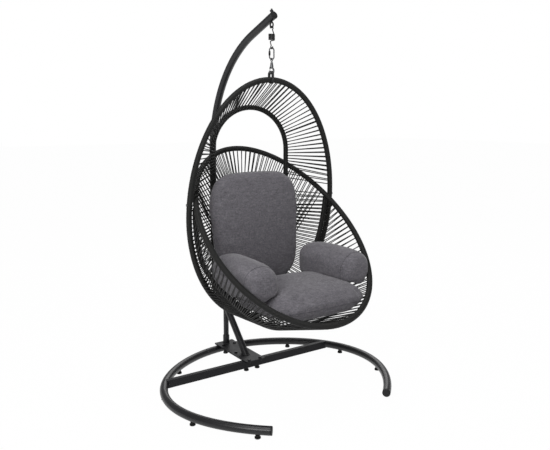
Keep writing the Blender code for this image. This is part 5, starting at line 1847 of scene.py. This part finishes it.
    def link(self) -> None:
        """The quick link and its hexagonal screw sleeve."""
        f = self.finishes
        wire = tubes("link_wire", self.stadium(0.002)[None], np.array((0, 1, 0)), self.link_bar, 16)
        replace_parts(place(wire, "link_wire", Body.LINK, f.zinc), "quick_link")
        half = self.sleeve_length / 2
        shape = ((0.0040, -half), (0.0058, -half + 0.0012), (0.0058, half - 0.0012), (0.0040, half))
        middle = (-self.link_half_width, self.hang_y, self.link_z)
        nut = lathe("screw_sleeve", shape, middle, (0, 0, 1), 6)
        crisp(nut)
        piece = place(nut, "screw_sleeve", Body.LINK, f.black_steel)
        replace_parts(piece, "link_sleeve")
        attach(piece, "sleeve")

    def swivel(self) -> None:
        """The swivel ring on its headed pin."""
        middle = (0, self.hang_y, self.swivel_z())
        ring = arc(middle, self.swivel_radius, (0, 1, 0), (0, 0, 1), 0, 350, 36)
        eye = tubes("swivel_ring", ring[None], np.array((1, 0, 0)), self.swivel_wire, 14, closed=True)
        top = self.swivel_z() - self.swivel_radius
        shape = raised(self.pin_shape, self.snap_top()) + ((0.0030, top), (0.0022, top + 0.001))
        pin = lathe("pin", shape, (0, self.hang_y, 0), (0, 0, 1), 20)
        mesh = together("swivel_ring_pin", (eye, pin))
        piece = place(mesh, "swivel_ring_pin", Body.SWIVEL, self.finishes.zinc)
        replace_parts(piece, "swivel_eye")

    def snap(self) -> None:
        """The snap hook: barrel, ear and bent wire; and the gate's dressing."""
        f, y, top = self.finishes, self.hang_y, self.snap_top()
        barrel = lathe("barrel", raised(self.barrel_shape, top), (0, y, 0), (0, 0, 1), 28)
        low = self.snap_bottom + self.snap_half_width
        bend = arc((0, y, low), self.snap_half_width, (1, 0, 0), (0, 0, 1), 0, -180, 25)
        nose = np.array([[-self.snap_half_width, y, low + 0.004]])
        start = np.array([[0.0030, y, top - 0.0240], [0.0075, y, top - 0.0310],
                          [self.snap_half_width, y, top - 0.0370]])
        line = np.concatenate([curved(start, 6), bend, nose])
        wire = tubes("hook_wire", line[None], np.array((0, 1, 0)), self.snap_bar, 16)
        mesh = together("snap_hook_body", (barrel, wire))
        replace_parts(place(mesh, "snap_hook_body", Body.EGG, f.zinc), "snap_hook")
        dress(f.zinc, "snap_gate", "rim_bolt_left", "rim_bolt_right")

    def loops(self) -> None:
        """The two oval loops round the tall hoop's top."""
        top = self.snap_bottom + self.snap_wire + self.loop_wire + 0.0050
        bottom = self.hoop_top - self.hoop_radius - self.loop_wire - 2 * GAP
        half_height, half_width = (top - bottom) / 2, self.hoop_radius + self.loop_wire + 2.5 * GAP
        tall = half_height - half_width
        y = 0.0725 + MIDDLE_Y
        for side, name in ((1.0, "right"), (-1.0, "left")):
            x, z = side * self.loop_x, (top + bottom) / 2
            upper = arc((x, y, z + tall), half_width, (0, 1, 0), (0, 0, 1), 0, 180, 21)
            lower = arc((x, y, z - tall), half_width, (0, 1, 0), (0, 0, 1), 180, 360, 21)
            line = np.concatenate([upper, lower])
            loop = f"steel_loop_{name}"
            mesh = tubes(loop, line[None], np.array((1, 0, 0)), self.loop_bar, 14, closed=True)
            piece = place(mesh, loop, Body.EGG, self.finishes.black_steel)
            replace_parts(piece, f"hang_loop_{name}")

    def build(self) -> None:
        """Builds the suspension from the eye bolt down."""
        self.eye()
        self.spring()
        self.link()
        self.swivel()
        self.snap()
        self.loops()
        LOG.info("suspension: eye, spring, link, swivel, snap hook and loops")


# ---------------------------------------------------------------- studio


@dataclass
class Studio:
    """Pale floor, soft lamps and the camera."""

    camera_at: tuple[float, float, float] = (-1.838, -2.8113, 1.421)
    azimuth: float = math.radians(-34.33)
    elevation: float = math.radians(6.4456)
    focal_px: float = 638.0
    centre_px: tuple[float, float] = (279.02, 189.17)
    image_px: tuple[int, int] = (550, 450)
    floor_seen: float = 0.985
    room_level: float = 0.30

    def camera(self) -> None:
        """The camera at the photograph's place, angle and frame."""
        lens = bpy.data.cameras.new("camera")
        lens.sensor_width = 36.0
        lens.lens = self.focal_px / self.image_px[0] * lens.sensor_width
        lens.shift_x = (self.image_px[0] / 2 - self.centre_px[0]) / self.image_px[0]
        lens.shift_y = (self.centre_px[1] - self.image_px[1] / 2) / self.image_px[0]
        lens.clip_end = 200.0
        holder = bpy.data.objects.new("camera", lens)
        holder.location = self.camera_at
        holder.rotation_euler = (math.pi / 2 - self.elevation, 0.0, self.azimuth)
        bpy.context.scene.collection.objects.link(holder)
        bpy.context.scene.camera = holder

    def white_when_seen(self, s: Shading, seen: float) -> bpy.types.NodeSocket:
        """A share that is seen for camera, glossy and transmission rays, and 0 for the rest.

        Args:
            s: The material's nodes.
            seen: The share.

        Returns:
            The share or 0.
        """
        path = s.node("ShaderNodeLightPath")
        either = s.math("MAXIMUM", path.outputs["Is Camera Ray"],
                        s.math("MAXIMUM", path.outputs["Is Glossy Ray"],
                               path.outputs["Is Transmission Ray"]))
        return s.math("MULTIPLY", either, seen)

    def floor(self) -> None:
        """A wide white floor that still shows the chair's soft shadow."""
        s = Shading("white_floor")
        s.set(Roughness=0.9)
        s.shader.inputs["Base Color"].default_value = (0.86, 0.86, 0.86, 1.0)
        glow = s.node("ShaderNodeEmission")
        glow.inputs["Color"].default_value = (1.0, 1.0, 1.0, 1.0)
        mix = s.node("ShaderNodeMixShader")
        s.link(self.white_when_seen(s, self.floor_seen), mix.inputs[0])
        s.link(s.shader.outputs[0], mix.inputs[1])
        s.link(glow.outputs[0], mix.inputs[2])
        s.link(mix.outputs[0], s.tree.nodes["Material Output"].inputs["Surface"])
        mesh = bpy.data.meshes.new("floor")
        mesh.from_pydata([(-30, -30, 0), (30, -30, 0), (30, 30, 0), (-30, 30, 0)], [], [(0, 1, 2, 3)])
        mesh.materials.append(s.material)
        floor = bpy.data.objects.new("floor", mesh)
        bpy.context.scene.collection.objects.link(floor)

    def world(self) -> None:
        """White surroundings that light the chair at a low, even level."""
        made = bpy.data.worlds.new("studio")
        made.use_nodes = True
        tree = made.node_tree
        back = tree.nodes["Background"]
        back.inputs["Color"].default_value = (1.0, 1.0, 1.0, 1.0)
        path = tree.nodes.new("ShaderNodeLightPath")
        seen = tree.nodes.new("ShaderNodeMath")
        seen.operation = "MAXIMUM"
        tree.links.new(path.outputs["Is Camera Ray"], seen.inputs[0])
        tree.links.new(path.outputs["Is Transmission Ray"], seen.inputs[1])
        strength = tree.nodes.new("ShaderNodeMapRange")
        strength.inputs["To Min"].default_value = self.room_level
        strength.inputs["To Max"].default_value = 1.0
        tree.links.new(seen.outputs[0], strength.inputs["Value"])
        tree.links.new(strength.outputs["Result"], back.inputs["Strength"])
        bpy.context.scene.world = made

    @staticmethod
    def lamp(name: str, at: Sequence[float], aim: Sequence[float], size: float, power: float) -> None:
        """One square soft lamp.

        Args:
            name: Name of the lamp.
            at: Its place.
            aim: The point that it faces.
            size: Length of its side.
            power: Its power in watts.
        """
        light = bpy.data.lights.new(name, "AREA")
        light.shape = "SQUARE"
        light.size = size
        light.energy = power
        holder = bpy.data.objects.new(name, light)
        holder.location = at
        holder.rotation_euler = (Vector(aim) - Vector(at)).to_track_quat("-Z", "Y").to_euler()
        bpy.context.scene.collection.objects.link(holder)

    def build(self) -> None:
        """Camera, floor, surroundings and four lamps."""
        self.camera()
        self.floor()
        self.world()
        self.lamp("overhead", (-0.6, -0.8, 4.2), (0.0, 0.0, 0.6), 2.6, 78.0)
        self.lamp("left_front", (-3.2, -2.6, 2.6), (0.0, 0.0, 0.7), 1.8, 98.0)
        self.lamp("right_fill", (3.4, -2.2, 2.0), (0.0, 0.0, 0.7), 2.4, 8.0)
        self.lamp("back_right", (2.6, 3.2, 3.0), (0.2, 0.0, 0.2), 3.2, 62.0)
        bpy.context.scene.view_settings.view_transform = "Standard"
        LOG.info("studio: camera, floor and lamps")


def main() -> None:
    """Builds the studio and every sub-assembly in order."""
    logging.basicConfig(level=logging.INFO, format="%(name)s: %(message)s")
    Studio().build()
    finishes = Finishes()
    Stand(finishes).build()
    Suspension(finishes).build()
    Cordage(HoopShapes(), finishes).build()
    Cushions(finishes).build()


if __name__ == "__main__":
    main()
